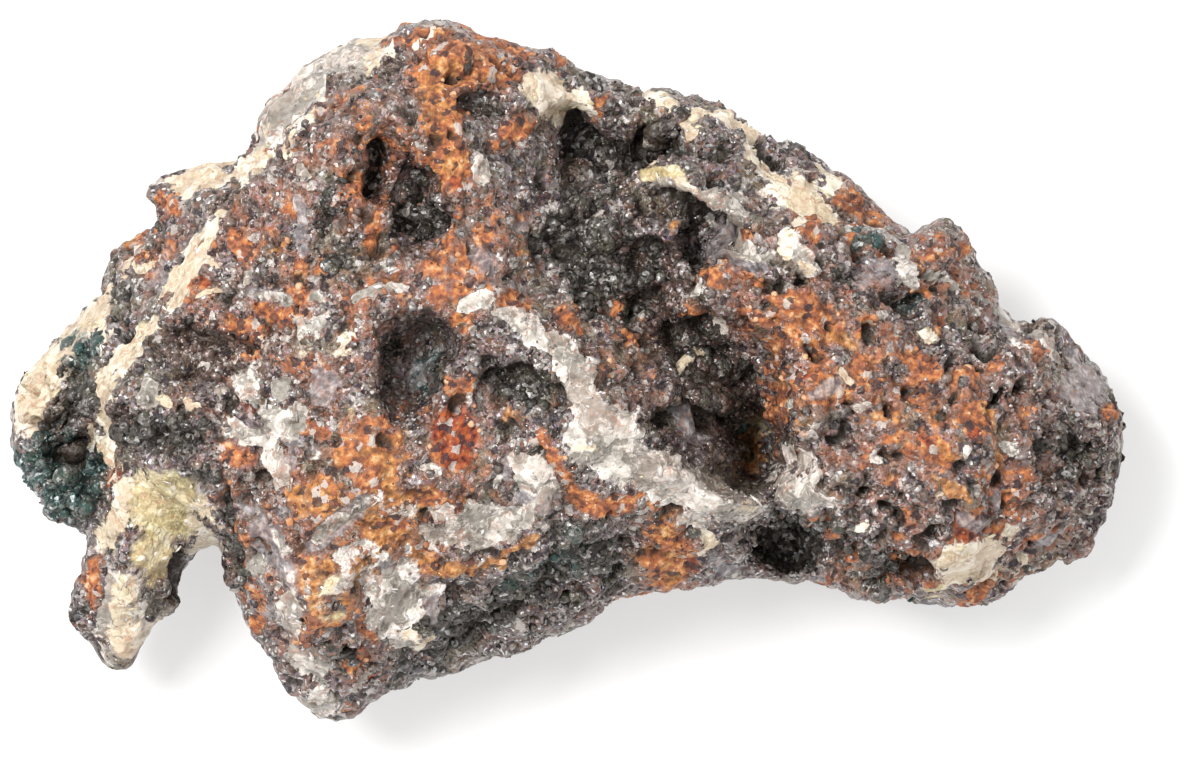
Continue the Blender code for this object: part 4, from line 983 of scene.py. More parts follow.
        # millimetres of every pattern on each kind of ground
        beads = 0.36 * coarse.domes(0.62) + 0.16 * middle.domes(0.66)
        crystals = 0.3 * middle.facets() + 0.14 * fine.facets()
        rise = steel * (beads + crystals + 0.14 * grit + 0.14)
        rise += dark * (1.5 * clusters + 0.3 * middle.domes(0.62) + 0.2 * fine.facets() + 0.12 * grit - 0.8)
        plain = 1 - 0.35 * self.share_of(Mineral.CREAM, Mineral.HONEY)
        rise += spar * plain * (0.34 * coarse.facets() + 0.18 * middle.facets() + 0.07 * fine.facets())
        rise += 0.3 * spar - self.inset
        rise += rust * (0.26 * waves + 0.2 * grit + 0.22 * middle.domes() + 0.18 * fine.domes() + 0.1)
        rise += (0.35 * (np.abs(waves) - 0.3) + 0.4 * broad) * (1 - 0.7 * spar)
        holes = np.zeros(len(points))
        for seed, (size, share, part) in enumerate(self.vug_cells, 14):
            holes += part * Cells.around(moved, size, seed).vugs(share)
        holes = np.clip(holes, 0, 1) * (1 - spar)
        sunken = smooth_step(self.minerals.sunken(points), 0.3, 0.62)
        self.holes = np.maximum(holes, 0.75 * sunken)
        rise -= self.vug_depth * holes + self.hole_depth * sunken
        ring = np.repeat(np.arange(self.rings + 1), self.shape[1])
        ends = smooth_step(np.minimum(ring, self.rings - ring), 0, 9)
        standing = 0.15 + 0.85 * smooth_step(points[:, 2], 0.0, 1.2)
        return rise * (0.35 + 0.65 * self.form.rounded(self.distance, 0.8)) * ends * standing

    def faces(self) -> tuple[np.ndarray, np.ndarray]:
        """Four-sided faces between rings, and fans of three-sided ones at the two ends.

        Returns:
            Corner numbers of the four-sided and of the three-sided faces, in a numbering where
            each end has one vertex of its own after all the rings between them.
        """
        columns = self.shape[1]
        ring, column = np.meshgrid(np.arange(self.rings - 2), np.arange(columns), indexing="ij")
        here = (ring * columns + column).ravel()
        beside = (ring * columns + (column + 1) % columns).ravel()
        quads = np.stack([here, here + columns, beside + columns, beside], -1)
        first = (self.rings - 1) * columns
        around = np.arange(columns)
        following = (around + 1) % columns
        last_ring = (self.rings - 2) * columns
        start = np.stack([np.full(columns, first), around, following], -1)
        end = np.stack([np.full(columns, first + 1), last_ring + following, last_ring + around], -1)
        return quads, np.concatenate([start, end])

    def vertex_rows(self, values: np.ndarray) -> np.ndarray:
        """Values of the grid in the order of the mesh's vertices: rings, then the two ends."""
        grid = values.reshape(*self.shape, -1)
        inner = grid[1:-1].reshape(-1, grid.shape[-1])
        return np.concatenate([inner, grid[0, :1], grid[-1, :1]])


def make_mesh(name: str, points: np.ndarray, quads: np.ndarray, triangles: np.ndarray) -> bpy.types.Mesh:
    """Mesh from arrays, in millimetres of the read frame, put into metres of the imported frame.

    Args:
        name: name of the mesh.
        points: rows of x, y, z.
        quads: corner numbers of four-sided faces.
        triangles: corner numbers of three-sided faces.

    Returns:
        The mesh, with its edges worked out.
    """
    mesh = bpy.data.meshes.new(name)
    shifted = (points + np.array(SHIFT)) * MM
    corners = np.concatenate([quads.ravel(), triangles.ravel()]).astype(np.int32)
    sizes = np.concatenate([np.full(len(quads), 4), np.full(len(triangles), 3)]).astype(np.int32)
    mesh.vertices.add(len(shifted))
    mesh.vertices.foreach_set("co", shifted.astype(np.float32).ravel())
    mesh.loops.add(len(corners))
    mesh.loops.foreach_set("vertex_index", corners)
    mesh.polygons.add(len(sizes))
    mesh.polygons.foreach_set("loop_start", np.concatenate([[0], np.cumsum(sizes)[:-1]]).astype(np.int32))
    mesh.update(calc_edges=True)
    mesh.validate()
    return mesh


def add_channels(mesh: bpy.types.Mesh, name: str, channels: np.ndarray) -> None:
    """Store four numbers for each vertex under one name.

    Args:
        mesh: the mesh that gets them.
        name: name that the finish reads.
        channels: four numbers in each row.
    """
    layer = mesh.attributes.new(name, "FLOAT_COLOR", "POINT")
    layer.data.foreach_set("color", channels.astype(np.float32).ravel())


class Tree:
    """Nodes of one finish, with short calls to add and join them."""

    def __init__(self, name: str) -> None:
        """Start a material with its shader and the place in millimetres.

        Args:
            name: name of the material.
        """
        self.material = bpy.data.materials.new(name)
        self.material.use_nodes = True
        self.nodes = self.material.node_tree.nodes
        self.links = self.material.node_tree.links
        self.shader = self.nodes["Principled BSDF"]
        self.place = self.scaled(self.nodes.new("ShaderNodeTexCoord").outputs["Object"], 1 / MM)

    def feed(self, target: Socket, value: Number | Colour) -> None:
        """Join a socket to another, or set its own value."""
        if isinstance(value, Socket):
            self.links.new(value, target)
        elif isinstance(value, tuple):
            target.default_value = (*value, 1.0) if len(target.default_value) == 4 else value
        else:
            target.default_value = value

    def calc(self, operation: str, a: Number, b: Number = 0.0) -> Socket:
        """Result of one sum of two numbers, such as ADD, MULTIPLY or MAXIMUM."""
        node = self.nodes.new("ShaderNodeMath")
        node.operation = operation
        self.feed(node.inputs[0], a)
        self.feed(node.inputs[1], b)
        return node.outputs[0]

    def plus(self, a: Number, b: Number) -> Socket:
        """Sum of two numbers."""
        return self.calc("ADD", a, b)

    def less(self, a: Number, b: Number) -> Socket:
        """First number less the second."""
        return self.calc("SUBTRACT", a, b)

    def times(self, a: Number, b: Number) -> Socket:
        """Product of two numbers."""
        return self.calc("MULTIPLY", a, b)

    def off(self, value: Socket, middle: float) -> Socket:
        """How far a number lies from a middle, to either side."""
        return self.calc("ABSOLUTE", self.less(value, middle))

    def vector(self, operation: str, *values: Tint) -> Socket:
        """Result of one operation on whole vectors, such as ADD, SUBTRACT or NORMALIZE."""
        node = self.nodes.new("ShaderNodeVectorMath")
        node.operation = operation
        for socket, value in zip(node.inputs, values):
            self.feed(socket, value)
        return node.outputs[0]

    def scaled(self, vector: Socket, share: Number) -> Socket:
        """Vector made longer or shorter by a share."""
        node = self.nodes.new("ShaderNodeVectorMath")
        node.operation = "SCALE"
        self.feed(node.inputs[0], vector)
        self.feed(node.inputs["Scale"], share)
        return node.outputs[0]

    def blend(self, share: Number, a: Tint, b: Tint) -> Socket:
        """Colour part of the way from a to b."""
        node = self.nodes.new("ShaderNodeMix")
        node.data_type = "RGBA"
        self.feed(node.inputs[0], share)
        self.feed(node.inputs[6], a)
        self.feed(node.inputs[7], b)
        return node.outputs[2]

    def level(self, share: Socket, a: Number, b: Number) -> Socket:
        """Number part of the way from a to b."""
        node = self.nodes.new("ShaderNodeMix")
        self.feed(node.inputs[0], share)
        self.feed(node.inputs[2], a)
        self.feed(node.inputs[3], b)
        return node.outputs[0]

    def step(self, value: Socket, low: float, high: float, start: float = 0.0, end: float = 1.0) -> Socket:
        """Eased rise from start to end as the value passes from low to high."""
        node = self.nodes.new("ShaderNodeMapRange")
        node.interpolation_type = "SMOOTHSTEP"
        limits = {"From Min": low, "From Max": high, "To Min": start, "To Max": end}
        for socket, number in {"Value": value, **limits}.items():
            self.feed(node.inputs[socket], number)
        return node.outputs["Result"]

    def ramp(self, share: Socket, stops: Shades) -> Socket:
        """Colour read along a row of stops."""
        node = self.nodes.new("ShaderNodeValToRGB")
        band = node.color_ramp.elements
        while len(band) < len(stops):
            band.new(0.5)
        for element, (place, colour) in zip(band, stops):
            element.position = place
            element.color = (*colour, 1.0)
        self.links.new(share, node.inputs["Fac"])
        return node.outputs["Color"]

    def moved(self, seed: float) -> Socket:
        """Place in millimetres, moved far off for each seed so that patterns don't repeat."""
        if not seed:
            return self.place
        node = self.nodes.new("ShaderNodeMapping")
        node.inputs["Location"].default_value = (seed * 131.0, seed * -57.0, seed * 89.0)
        self.links.new(self.place, node.inputs["Vector"])
        return node.outputs[0]

    def swirls(self, place: Socket, size: float, detail: float) -> bpy.types.Node:
        """Node of the noise at a place, whose largest swirls have the given size in millimetres."""
        node = self.nodes.new("ShaderNodeTexNoise")
        node.inputs["Scale"].default_value = 1 / size
        node.inputs["Detail"].default_value = detail
        self.links.new(place, node.inputs["Vector"])
        return node

    def cloud(self, size: float, detail: float = 3.0, seed: float = 0.0) -> Socket:
        """Noise from 0 to 1 of the given size in millimetres, moved by its seed."""
        return self.swirls(self.moved(seed), size, detail).outputs["Fac"]

    def grains(self, size: float, seed: float = 0.0, jagged: float = 0.0) -> Socket:
        """Random colour of each grain.

        Args:
            size: width of a grain in millimetres.
            seed: moves the pattern.
            jagged: millimetres by which noise pushes the edges of the grains.

        Returns:
            The colour.
        """
        place = self.moved(seed)
        if jagged:
            swirl = self.swirls(place, 0.5 * size, 4.0).outputs["Color"]
            place = self.vector("MULTIPLY_ADD", swirl, (jagged, jagged, jagged), place)
        node = self.nodes.new("ShaderNodeTexVoronoi")
        node.inputs["Scale"].default_value = 1 / size
        self.links.new(place, node.inputs["Vector"])
        return node.outputs["Color"]

    def parts(self, colour: Socket) -> tuple[Socket, Socket, Socket]:
        """Three numbers of a colour."""
        node = self.nodes.new("ShaderNodeSeparateColor")
        self.links.new(colour, node.inputs[0])
        return node.outputs[0], node.outputs[1], node.outputs[2]

    def channels(self, name: str) -> tuple[Socket, Socket, Socket, Socket]:
        """Four numbers stored in the mesh under a name."""
        node = self.nodes.new("ShaderNodeAttribute")
        node.attribute_name = name
        red, green, blue = self.parts(node.outputs["Color"])
        return red, green, blue, node.outputs["Alpha"]

    def bump(self, height: Socket, distance: float) -> Socket:
        """Normal tipped by a height, with the height's full range in millimetres."""
        node = self.nodes.new("ShaderNodeBump")
        node.inputs["Strength"].default_value = 1.0
        node.inputs["Distance"].default_value = distance * MM
        self.links.new(height, node.inputs["Height"])
        return node.outputs["Normal"]

    def tipped(self, normal: Socket, tint: Socket, amount: Number) -> Socket:
        """Normal of small flat grains: each leans by its own random colour."""
        lean = self.scaled(self.vector("SUBTRACT", tint, (0.5, 0.5, 0.5)), amount)
        return self.vector("NORMALIZE", self.vector("ADD", normal, lean))

    def finished(self, values: dict[str, Number | Colour]) -> bpy.types.Material:
        """The material, once its shader has its values."""
        for name, value in values.items():
            self.feed(self.shader.inputs[name], value)
        return self.material


@dataclass(frozen=True)
class MineralLook:
    """Colours and gloss of one mineral: shades from its dark to its light grains.

    The edge of a patch is moved by fine noise (ragged) and by wide noise (wandering), and blurred
    over its softness. A mineral that glitters takes its shades grain by grain. Glassy spar has flat
    cleavage faces, and where it is bruised it is white in streaks and at its edges.
    """

    shades: Shades
    roughness: float
    grain: float = 0.34
    metallic: float = 0.0
    ragged: float = 0.45
    wandering: float = 0.45
    softness: float = 0.05
    cover: float = 1.0
    glitter: float = 0.0
    glassy: bool = False
    bruised: float = 0.0


# The lightest stop of each glittering mineral (dark, brown, teal) is a painted glint on some grains.
LOOKS: dict[Mineral, MineralLook] = {
    Mineral.DARK: MineralLook(
        (
            (0.0, (0.013, 0.01, 0.009)), (0.35, (0.04, 0.033, 0.029)), (0.62, (0.105, 0.09, 0.078)),
            (0.86, (0.23, 0.21, 0.19)), (0.96, (0.6, 0.59, 0.57)),
        ),
        roughness=0.34, metallic=0.4, softness=0.08, glitter=0.85,
    ),
    Mineral.BROWN: MineralLook(
        (
            (0.0, (0.026, 0.015, 0.01)), (0.45, (0.085, 0.052, 0.036)), (0.75, (0.165, 0.115, 0.085)),
            (0.95, (0.42, 0.36, 0.32)),
        ),
        roughness=0.3, grain=0.36, metallic=0.3, wandering=0.6, softness=0.14, cover=0.88, glitter=0.75,
    ),
    Mineral.RUST: MineralLook(
        (
            (0.0, (0.13, 0.045, 0.026)), (0.35, (0.33, 0.108, 0.05)), (0.62, (0.5, 0.16, 0.048)),
            (0.88, (0.59, 0.25, 0.085)), (1.0, (0.72, 0.43, 0.24)),
        ),
        roughness=0.72, wandering=1.1, softness=0.09, cover=0.93,
    ),
    Mineral.OCHRE: MineralLook(
        (
            (0.0, (0.2, 0.085, 0.03)), (0.4, (0.42, 0.17, 0.052)), (0.75, (0.57, 0.265, 0.085)),
            (1.0, (0.74, 0.47, 0.24)),
        ),
        roughness=0.7, wandering=1.0, softness=0.14, cover=0.9,
    ),
    Mineral.RED: MineralLook(
        ((0.0, (0.09, 0.014, 0.01)), (0.5, (0.3, 0.058, 0.02)), (1.0, (0.47, 0.125, 0.035))),
        roughness=0.5, wandering=0.7, softness=0.12,
    ),
    Mineral.LILAC: MineralLook(
        ((0.0, (0.13, 0.118, 0.125)), (0.5, (0.23, 0.213, 0.222)), (1.0, (0.5, 0.47, 0.47))),
        roughness=0.32, wandering=0.9, softness=0.14, cover=0.8, glassy=True,
    ),
    Mineral.HONEY: MineralLook(
        (
            (0.0, (0.3, 0.23, 0.1)), (0.3, (0.5, 0.41, 0.2)), (0.6, (0.68, 0.58, 0.33)),
            (1.0, (0.86, 0.78, 0.58)),
        ),
        roughness=0.32, softness=0.14, glassy=True, bruised=0.2,
    ),
    Mineral.QUARTZ: MineralLook(
        (
            (0.0, (0.185, 0.16, 0.134)), (0.2, (0.28, 0.25, 0.214)), (0.42, (0.375, 0.34, 0.295)),
            (0.58, (0.515, 0.47, 0.415)), (0.8, (0.73, 0.665, 0.6)), (1.0, (0.87, 0.81, 0.76)),
        ),
        roughness=0.28, ragged=0.35, wandering=0.75, softness=0.04, glassy=True, bruised=0.3,
    ),
    Mineral.CREAM: MineralLook(
        (
            (0.0, (0.42, 0.3, 0.19)), (0.2, (0.55, 0.44, 0.3)), (0.5, (0.7, 0.6, 0.45)),
            (1.0, (0.88, 0.82, 0.72)),
        ),
        roughness=0.4, ragged=0.55, softness=0.06, glassy=True, bruised=0.25,
    ),
    Mineral.TEAL: MineralLook(
        (
            (0.0, (0.008, 0.022, 0.021)), (0.45, (0.03, 0.075, 0.07)), (0.8, (0.13, 0.2, 0.19)),
            (0.94, (0.62, 0.68, 0.67)),
        ),
        roughness=0.3, metallic=0.4, wandering=0.8, softness=0.16, cover=0.85, glitter=0.85,
    ),
}


@dataclass(frozen=True)
class OreFinish:
    """Finish of the skin: steel-grey ore under all the other minerals, grain by grain."""

    name: str = "goethite_ore"
    grain: float = 0.24
    roughness: float = 0.33
    metallic: float = 0.42
    gloss: float = 0.35
    # the near-white top stop is a painted glint on some grains
    steel: Shades = (
        (0.0, (0.028, 0.022, 0.02)), (0.2, (0.083, 0.066, 0.059)), (0.45, (0.18, 0.152, 0.138)),
        (0.72, (0.3, 0.267, 0.248)), (0.92, (0.47, 0.44, 0.42)), (0.975, (0.95, 0.94, 0.93)),
    )
    umber: Colour = (0.3, 0.125, 0.075)
    stain: Colour = (0.36, 0.15, 0.085)
    violet: Colour = (0.2, 0.135, 0.185)
    olive: Colour = (0.18, 0.168, 0.1)
    # colour of the painted shade in holes and crevices
    hollow_shade: Colour = (0.036, 0.026, 0.018)
    dusk: Colour = (0.028, 0.022, 0.03)
    chalk: Colour = (0.55, 0.5, 0.46)
    blush: Colour = (0.74, 0.52, 0.42)

    def ore(self, tree: Tree, tint: Socket, rust: Socket) -> Socket:
        """Colour of the ore: shades of steel by grain, with umber, violet and olive, stained near rust.

        Args:
            tree: nodes of the finish.
            tint: random colour of each grain.
            rust: strength of the rust.

        Returns:
            The colour.
        """
        value, hue, other = tree.parts(tint)
        colour = tree.ramp(value, self.steel)
        colour = tree.blend(tree.step(tree.cloud(1.7, 3.0, 1.0), 0.5, 0.72, 0.0, 0.5), colour, self.umber)
        colour = tree.blend(tree.step(hue, 0.8, 0.88, 0.0, 0.5), colour, self.umber)
        colour = tree.blend(tree.step(other, 0.82, 0.92, 0.0, 0.65), colour, self.violet)
        colour = tree.blend(tree.step(tree.cloud(3.6, 2.0, 2.0), 0.5, 0.68, 0.0, 0.5), colour, self.olive)
        scattered = tree.step(tree.cloud(0.8, 4.0, 8.0), 0.35, 0.65, 0.1, 0.8)
        near = tree.times(tree.step(rust, 0.1, 0.5), scattered)
        return tree.blend(near, colour, self.stain)

    def material(self) -> bpy.types.Material:
        """Build the nodes: each mineral covers the ones before it where its strength passes a half."""
        tree = Tree(self.name)
        tint = tree.grains(self.grain)
        # the last two stored numbers are the strength of the painted shade in holes, and in crevices
        *stored, deep, crevice_shade = [number for name in MINERAL_AND_SHADE_LAYERS for number in tree.channels(name)]
        colour = self.ore(tree, tint, stored[Mineral.RUST.value])
        rough: Number = self.roughness
        metal: Number = self.metallic
        glitter: Number = 1.0
        glassy: Number = 0.0
        fine_edge = tree.less(tree.cloud(0.42, 4.0, 3.0), 0.5)
        wide_edge = tree.less(tree.cloud(1.3, 4.0, 7.0), 0.5)
        flecks = tree.cloud(0.55, 5.0, 4.0)
        marble = tree.cloud(2.6, 4.0, 5.0)
        shards = tree.grains(1.25, 9.0, 0.5)
        chalky = tree.step(marble, 0.52, 0.54, 0.0, 0.46)
        streaks = tree.calc("MAXIMUM", chalky, tree.step(tree.off(marble, 0.47), 0.0, 0.014, 0.4, 0.0))
        crisp = tree.step(flecks, 0.4, 0.6, 0.0, 0.24)
        uneven = tree.step(tree.cloud(2.2, 2.0, 11.0), 0.42, 0.58)
        for mineral in Mineral:
            look = LOOKS[mineral]
            strength = stored[mineral.value]
            edge = tree.plus(strength, tree.times(fine_edge, look.ragged))
            edge = tree.plus(edge, tree.times(wide_edge, look.wandering))
            mask = tree.step(edge, 0.5 - 0.4 * look.softness, 0.5 + 1.6 * look.softness, 0.0, look.cover)
            if look.glitter:
                tone = tree.parts(tree.grains(look.grain, 1.0 + mineral.value))[0]
            elif look.bruised:
                rim = tree.times(tree.step(edge, 0.55, 0.85, look.bruised, 0.0), uneven)
                tone = tree.plus(streaks, tree.plus(rim, crisp))
                tone = tree.plus(tone, tree.times(tree.parts(shards)[1], 0.2))
            else:
                tone = tree.step(flecks, 0.3, 0.7)
            colour = tree.blend(mask, colour, tree.ramp(tone, look.shades))
            rough = tree.level(mask, rough, look.roughness)
            metal = tree.level(mask, metal, look.metallic)
            glitter = tree.level(mask, glitter, look.glitter)
            glassy = tree.level(mask, glassy, float(look.glassy))
        # thin stained cracks, a faint blush, and dark and chalky specks between the grains
        veins = tree.step(tree.off(tree.cloud(1.5, 4.0, 13.0), 0.5), 0.006, 0.03, 0.55, 0.0)
        veins = tree.times(veins, glassy)
        colour = tree.blend(tree.times(veins, tree.step(uneven, 0.5, 0.9)), colour, self.stain)
        blush = tree.times(tree.step(tree.cloud(4.5, 2.0, 17.0), 0.45, 0.62, 0.0, 0.15), glassy)
        colour = tree.blend(blush, colour, self.blush)
        spot, pale, _ = tree.parts(tree.grains(0.6, 15.0, 0.5))
        ore = tree.less(1.0, glassy)
        colour = tree.blend(tree.times(tree.step(spot, 0.88, 0.9, 0.0, 0.8), ore), colour, self.dusk)
        colour = tree.blend(tree.times(tree.step(pale, 0.94, 0.95, 0.0, 0.8), ore), colour, self.chalk)
        # painted shade in holes and crevices, less so in spar; holes don't shine
        hollow_shade = tree.step(deep, 0.2, 0.65)
        crevice = tree.times(crevice_shade, 0.65)
        shaded = tree.calc("MAXIMUM", tree.times(hollow_shade, 0.85), crevice)
        shaded = tree.times(shaded, tree.less(1.0, tree.times(glassy, 0.7)))
        colour = tree.blend(shaded, colour, self.hollow_shade)
        metal = tree.times(metal, tree.less(1.0, hollow_shade))
        # fine grit, lower on spar, with the small facets of the grains tipped on it
        height = tree.plus(tree.cloud(0.3, 4.0, 6.0), tree.times(flecks, 0.5))
        height = tree.times(height, tree.less(1.0, tree.times(glassy, 0.5)))
        height = tree.plus(height, tree.times(marble, 2.5))
        normal = tree.tipped(tree.bump(height, 0.22), tint, tree.times(glitter, 0.75))
        normal = tree.tipped(normal, shards, tree.times(glassy, 0.5))
        values = {"Base Color": colour, "Roughness": rough, "Metallic": metal}
        return tree.finished({**values, "Specular IOR Level": self.gloss, "Normal": normal})


@dataclass(frozen=True)
class GrainFinish:
    """Finish of a crust of grains: each grain takes its own shade along a row of them."""

    name: str
    shades: Shades
    roughness: float
    metallic: float = 0.0
    transmission: float = 0.0
    refraction: float = 1.5
    texture: float = 0.25
    relief: float = 0.06
    veil: Colour = (0.3, 0.3, 0.3)
    veil_share: float = 0.0
    glitter: float = 0.0
    crystals: float = 0.2
    tinge: Colour = (0.36, 0.15, 0.08)
    # colour of the painted shade of grains in crevices and holes
    gap: Colour = (0.012, 0.01, 0.009)

    def material(self) -> bpy.types.Material:
        """Build the nodes: the stored shade, tipped and painted glints of crystals, veiled, tinged and
        painted shade in gaps.
        """
        tree = Tree(self.name)
        shade, tinge, painted_shade, _ = tree.channels("grain")
        fine = tree.cloud(self.texture, 3.0, 1.0)
        mixed = tree.plus(shade, tree.times(tree.less(fine, 0.5), 0.35))
        normal = tree.bump(fine, self.relief)
        if self.glitter:
            tint = tree.grains(self.crystals, 3.0)
            # the sparkle lifts some crystals to the light top stops: painted glints, beside the tipped
            # normals
            sparkle = tree.less(tree.parts(tint)[0], 0.5)
            mixed = tree.plus(tree.times(mixed, 0.38), tree.times(sparkle, 0.62))
            mixed = tree.plus(mixed, 0.3)
            normal = tree.tipped(normal, tint, self.glitter)
        colour = tree.ramp(mixed, self.shades)
        if self.veil_share:
            veil = tree.step(tree.cloud(0.9, 3.0, 2.0), 0.45, 0.65, 0.0, self.veil_share)
            colour = tree.blend(veil, colour, self.veil)
        tinge = tree.times(tinge, tree.step(mixed, 0.3, 0.92, 0.85, 0.1))
        colour = tree.blend(painted_shade, tree.blend(tinge, colour, self.tinge), self.gap)
        values = {"Base Color": colour, "Roughness": self.roughness, "Metallic": self.metallic}
        values |= {"IOR": self.refraction, "Transmission Weight": self.transmission, "Normal": normal}
        return tree.finished(values)


class Habit(Enum):
    """Shape of a grain: steps round it, steps from pole to pole, and how square it is."""

    OCTAHEDRON = (4, 2, 1.0)
    SHARD = (5, 3, 1.0)
    BLOCK = (6, 4, 0.5)
    SPHERULE = (7, 4, 1.0)
    NODULE = (8, 5, 1.0)


@dataclass
class Crust:
    """Thousands of small grains grown on the skin, joined in one mesh.

    The smallness is the power that makes small grains commoner than large ones, and the spread
    is how far each of a grain's three sizes may be from its radius.
    """

    name: str
    finish: GrainFinish
    habit: Habit
    count: int
    radius: tuple[float, float]
    density: np.ndarray
    seed: int
    sink: float = 0.35
    stretch: tuple[float, float, float] = (1.0, 1.0, 1.0)
    lean: float = 1.0
    uneven: float = 0.0
    smooth: bool = False
    tinge: np.ndarray | None = None
    smallness: float = 2.2
    spread: tuple[float, float] = (0.75, 1.25)

    def grain(self) -> tuple[np.ndarray, np.ndarray]:
        """One grain of radius one.

        Returns:
            Its points and three-sided faces. Two angles run round it and from pole to pole; the
            sine and cosine of each are raised to the habit's power, so a low power is a block.
        """
        turns, rings, power = self.habit.value
        lift = np.repeat(np.arange(1, rings) * math.pi / rings, turns)
        turn = np.tile(np.arange(turns) * 2 * math.pi / turns, rings - 1)
        bend = [np.sign(value) * np.abs(value) ** power for value in (np.cos(turn), np.sin(turn))]
        high = np.sign(np.cos(lift)) * np.abs(np.cos(lift)) ** power
        wide = np.abs(np.sin(lift)) ** power
        points = np.column_stack([wide * bend[0], wide * bend[1], high])
        points = np.concatenate([points, [[0.0, 0.0, 1.0], [0.0, 0.0, -1.0]]])
        top, base = len(points) - 2, len(points) - 1
        around = np.arange(turns)
        after = (around + 1) % turns
        faces = [np.stack([np.full(turns, top), around, after], -1)]
        for ring in range(rings - 2):
            near, far = ring * turns, (ring + 1) * turns
            faces.append(np.stack([near + around, far + around, far + after], -1))
            faces.append(np.stack([near + around, far + after, near + after], -1))
        final = (rings - 2) * turns
        faces.append(np.stack([np.full(turns, base), final + after, final + around], -1))
        return points, np.concatenate(faces)

    def frames(self, normals: np.ndarray, draw: np.random.Generator) -> np.ndarray:
        """Turned axes for every grain: its Z leans from the normal by a random share.

        Args:
            normals: surface normals, one row for each grain.
            draw: source of random numbers.

        Returns:
            One three-by-three matrix for each grain, with its axes as columns.
        """
        aim = normals + self.lean * draw.normal(size=normals.shape)
        aim /= np.linalg.norm(aim, axis=1, keepdims=True)
        side = np.cross(aim, draw.normal(size=normals.shape))
        side /= np.linalg.norm(side, axis=1, keepdims=True)
        return np.stack([side, np.cross(aim, side), aim], -1)

    def build(self, skin: SkinGrid) -> bpy.types.Object:
        """Scatter the grains over the skin and join them.

        Args:
            skin: the surface that they grow on.

        Returns:
            The finished object, riding on the stone's body.
        """
        draw = np.random.default_rng(self.seed)
        rows, columns = skin.shape
        points = skin.points.reshape(rows, columns, 3)
        along = points[1:] - points[:-1]
        around = np.roll(points, -1, axis=1) - points
        area = np.linalg.norm(np.cross(along, around[:-1]), axis=-1)
        chance = area * self.density.reshape(rows, columns)[:-1]
        chance = np.cumsum(chance.ravel() / chance.sum())
        chosen = np.searchsorted(chance, draw.random(self.count)).clip(0, chance.size - 1)
        ring, column = np.divmod(chosen, columns)
        start = ring * columns + column
        share = draw.random((self.count, 2))
        spot = skin.points[start] + share[:, :1] * along[ring, column] + share[:, 1:] * around[ring, column]
        normal = skin.normals[start]
        low, high = self.radius
        radius = low + (high - low) * draw.random(self.count) ** self.smallness
        unit, faces = self.grain()
        frames = self.frames(normal, draw)
        sizes = radius[:, None] * np.array(self.stretch) * draw.uniform(*self.spread, (self.count, 3))
        dents = 1 + self.uneven * draw.uniform(-1, 1, (self.count, len(unit), 1))
        grown = np.einsum("nij,nkj->nki", frames, unit[None] * sizes[:, None] * dents)
        grown += (spot - normal * (self.sink * radius)[:, None])[:, None]
        grown[..., 2] = np.maximum(grown[..., 2], 0.0)
        numbers = faces[None] + (np.arange(self.count) * len(unit))[:, None, None]
        mesh = make_mesh(self.name, grown.reshape(-1, 3), np.zeros((0, 4)), numbers.reshape(-1, 3))
        # painted shade: grains in crevices and holes are darkened towards the gap colour
        painted_shade = np.maximum(0.6 * skin.crevice, 0.8 * skin.holes * skin.open)[start]
        tinge = np.zeros(self.count) if self.tinge is None else self.tinge[start]
        shade = np.column_stack([draw.random(self.count), tinge, painted_shade, np.ones(self.count)])
        add_channels(mesh, "grain", np.repeat(shade, len(unit), axis=0))
        if self.smooth:
            mesh.shade_smooth()
        mesh.materials.append(self.finish.material())
        return placed(mesh)


@dataclass
class RockSkin:
    """The stone's own surface as one closed mesh over the fine grid."""

    grid: SkinGrid
    finish: OreFinish = OreFinish()

    def build(self) -> bpy.types.Object:
        """Fill the mesh, store the minerals in it and dress it.

        Returns:
            The finished object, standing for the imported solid.
        """
        quads, triangles = self.grid.faces()
        mesh = make_mesh("stone_skin", self.grid.vertex_rows(self.grid.points), quads, triangles)
        face_outwards(mesh)
        # painted shade in holes, weaker in deep cavities; the crevice is stored beside it for its own
        # painted shade
        deep = 0.9 * self.grid.holes * self.grid.open
        rows = np.column_stack([self.grid.weights, deep, self.grid.crevice])
        for name, part in zip(MINERAL_AND_SHADE_LAYERS, np.split(rows, len(MINERAL_AND_SHADE_LAYERS), axis=1)):
            add_channels(mesh, name, self.grid.vertex_rows(part))
        mesh.shade_smooth()
        mesh.materials.append(self.finish.material())
        skin = placed(mesh)
        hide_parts("goethite")
        return skin


def face_outwards(mesh: bpy.types.Mesh) -> None:
    """Turn a closed mesh right side out if its signed volume is below zero."""
    mesh.calc_loop_triangles()
    corners = np.empty(len(mesh.loop_triangles) * 3, np.int32)
    mesh.loop_triangles.foreach_get("vertices", corners)
    points = np.empty(len(mesh.vertices) * 3, np.float32)
    mesh.vertices.foreach_get("co", points)
    a, b, c = points.reshape(-1, 3)[corners.reshape(-1, 3)].astype(float).transpose(1, 0, 2)
    if (a * np.cross(b, c)).sum() < 0:
        mesh.flip_normals()


def shown(name: str, data: bpy.types.ID) -> bpy.types.Object:
    """New object of a mesh, a lamp or a camera, put into the scene."""
    item = bpy.data.objects.new(name, data)
    bpy.context.scene.collection.objects.link(item)
    return item


def placed(mesh: bpy.types.Mesh) -> bpy.types.Object:
    """Object of a mesh at the origin, riding on the stone's body."""
    item = shown(mesh.name, mesh)
    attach(item, "root")
    return item


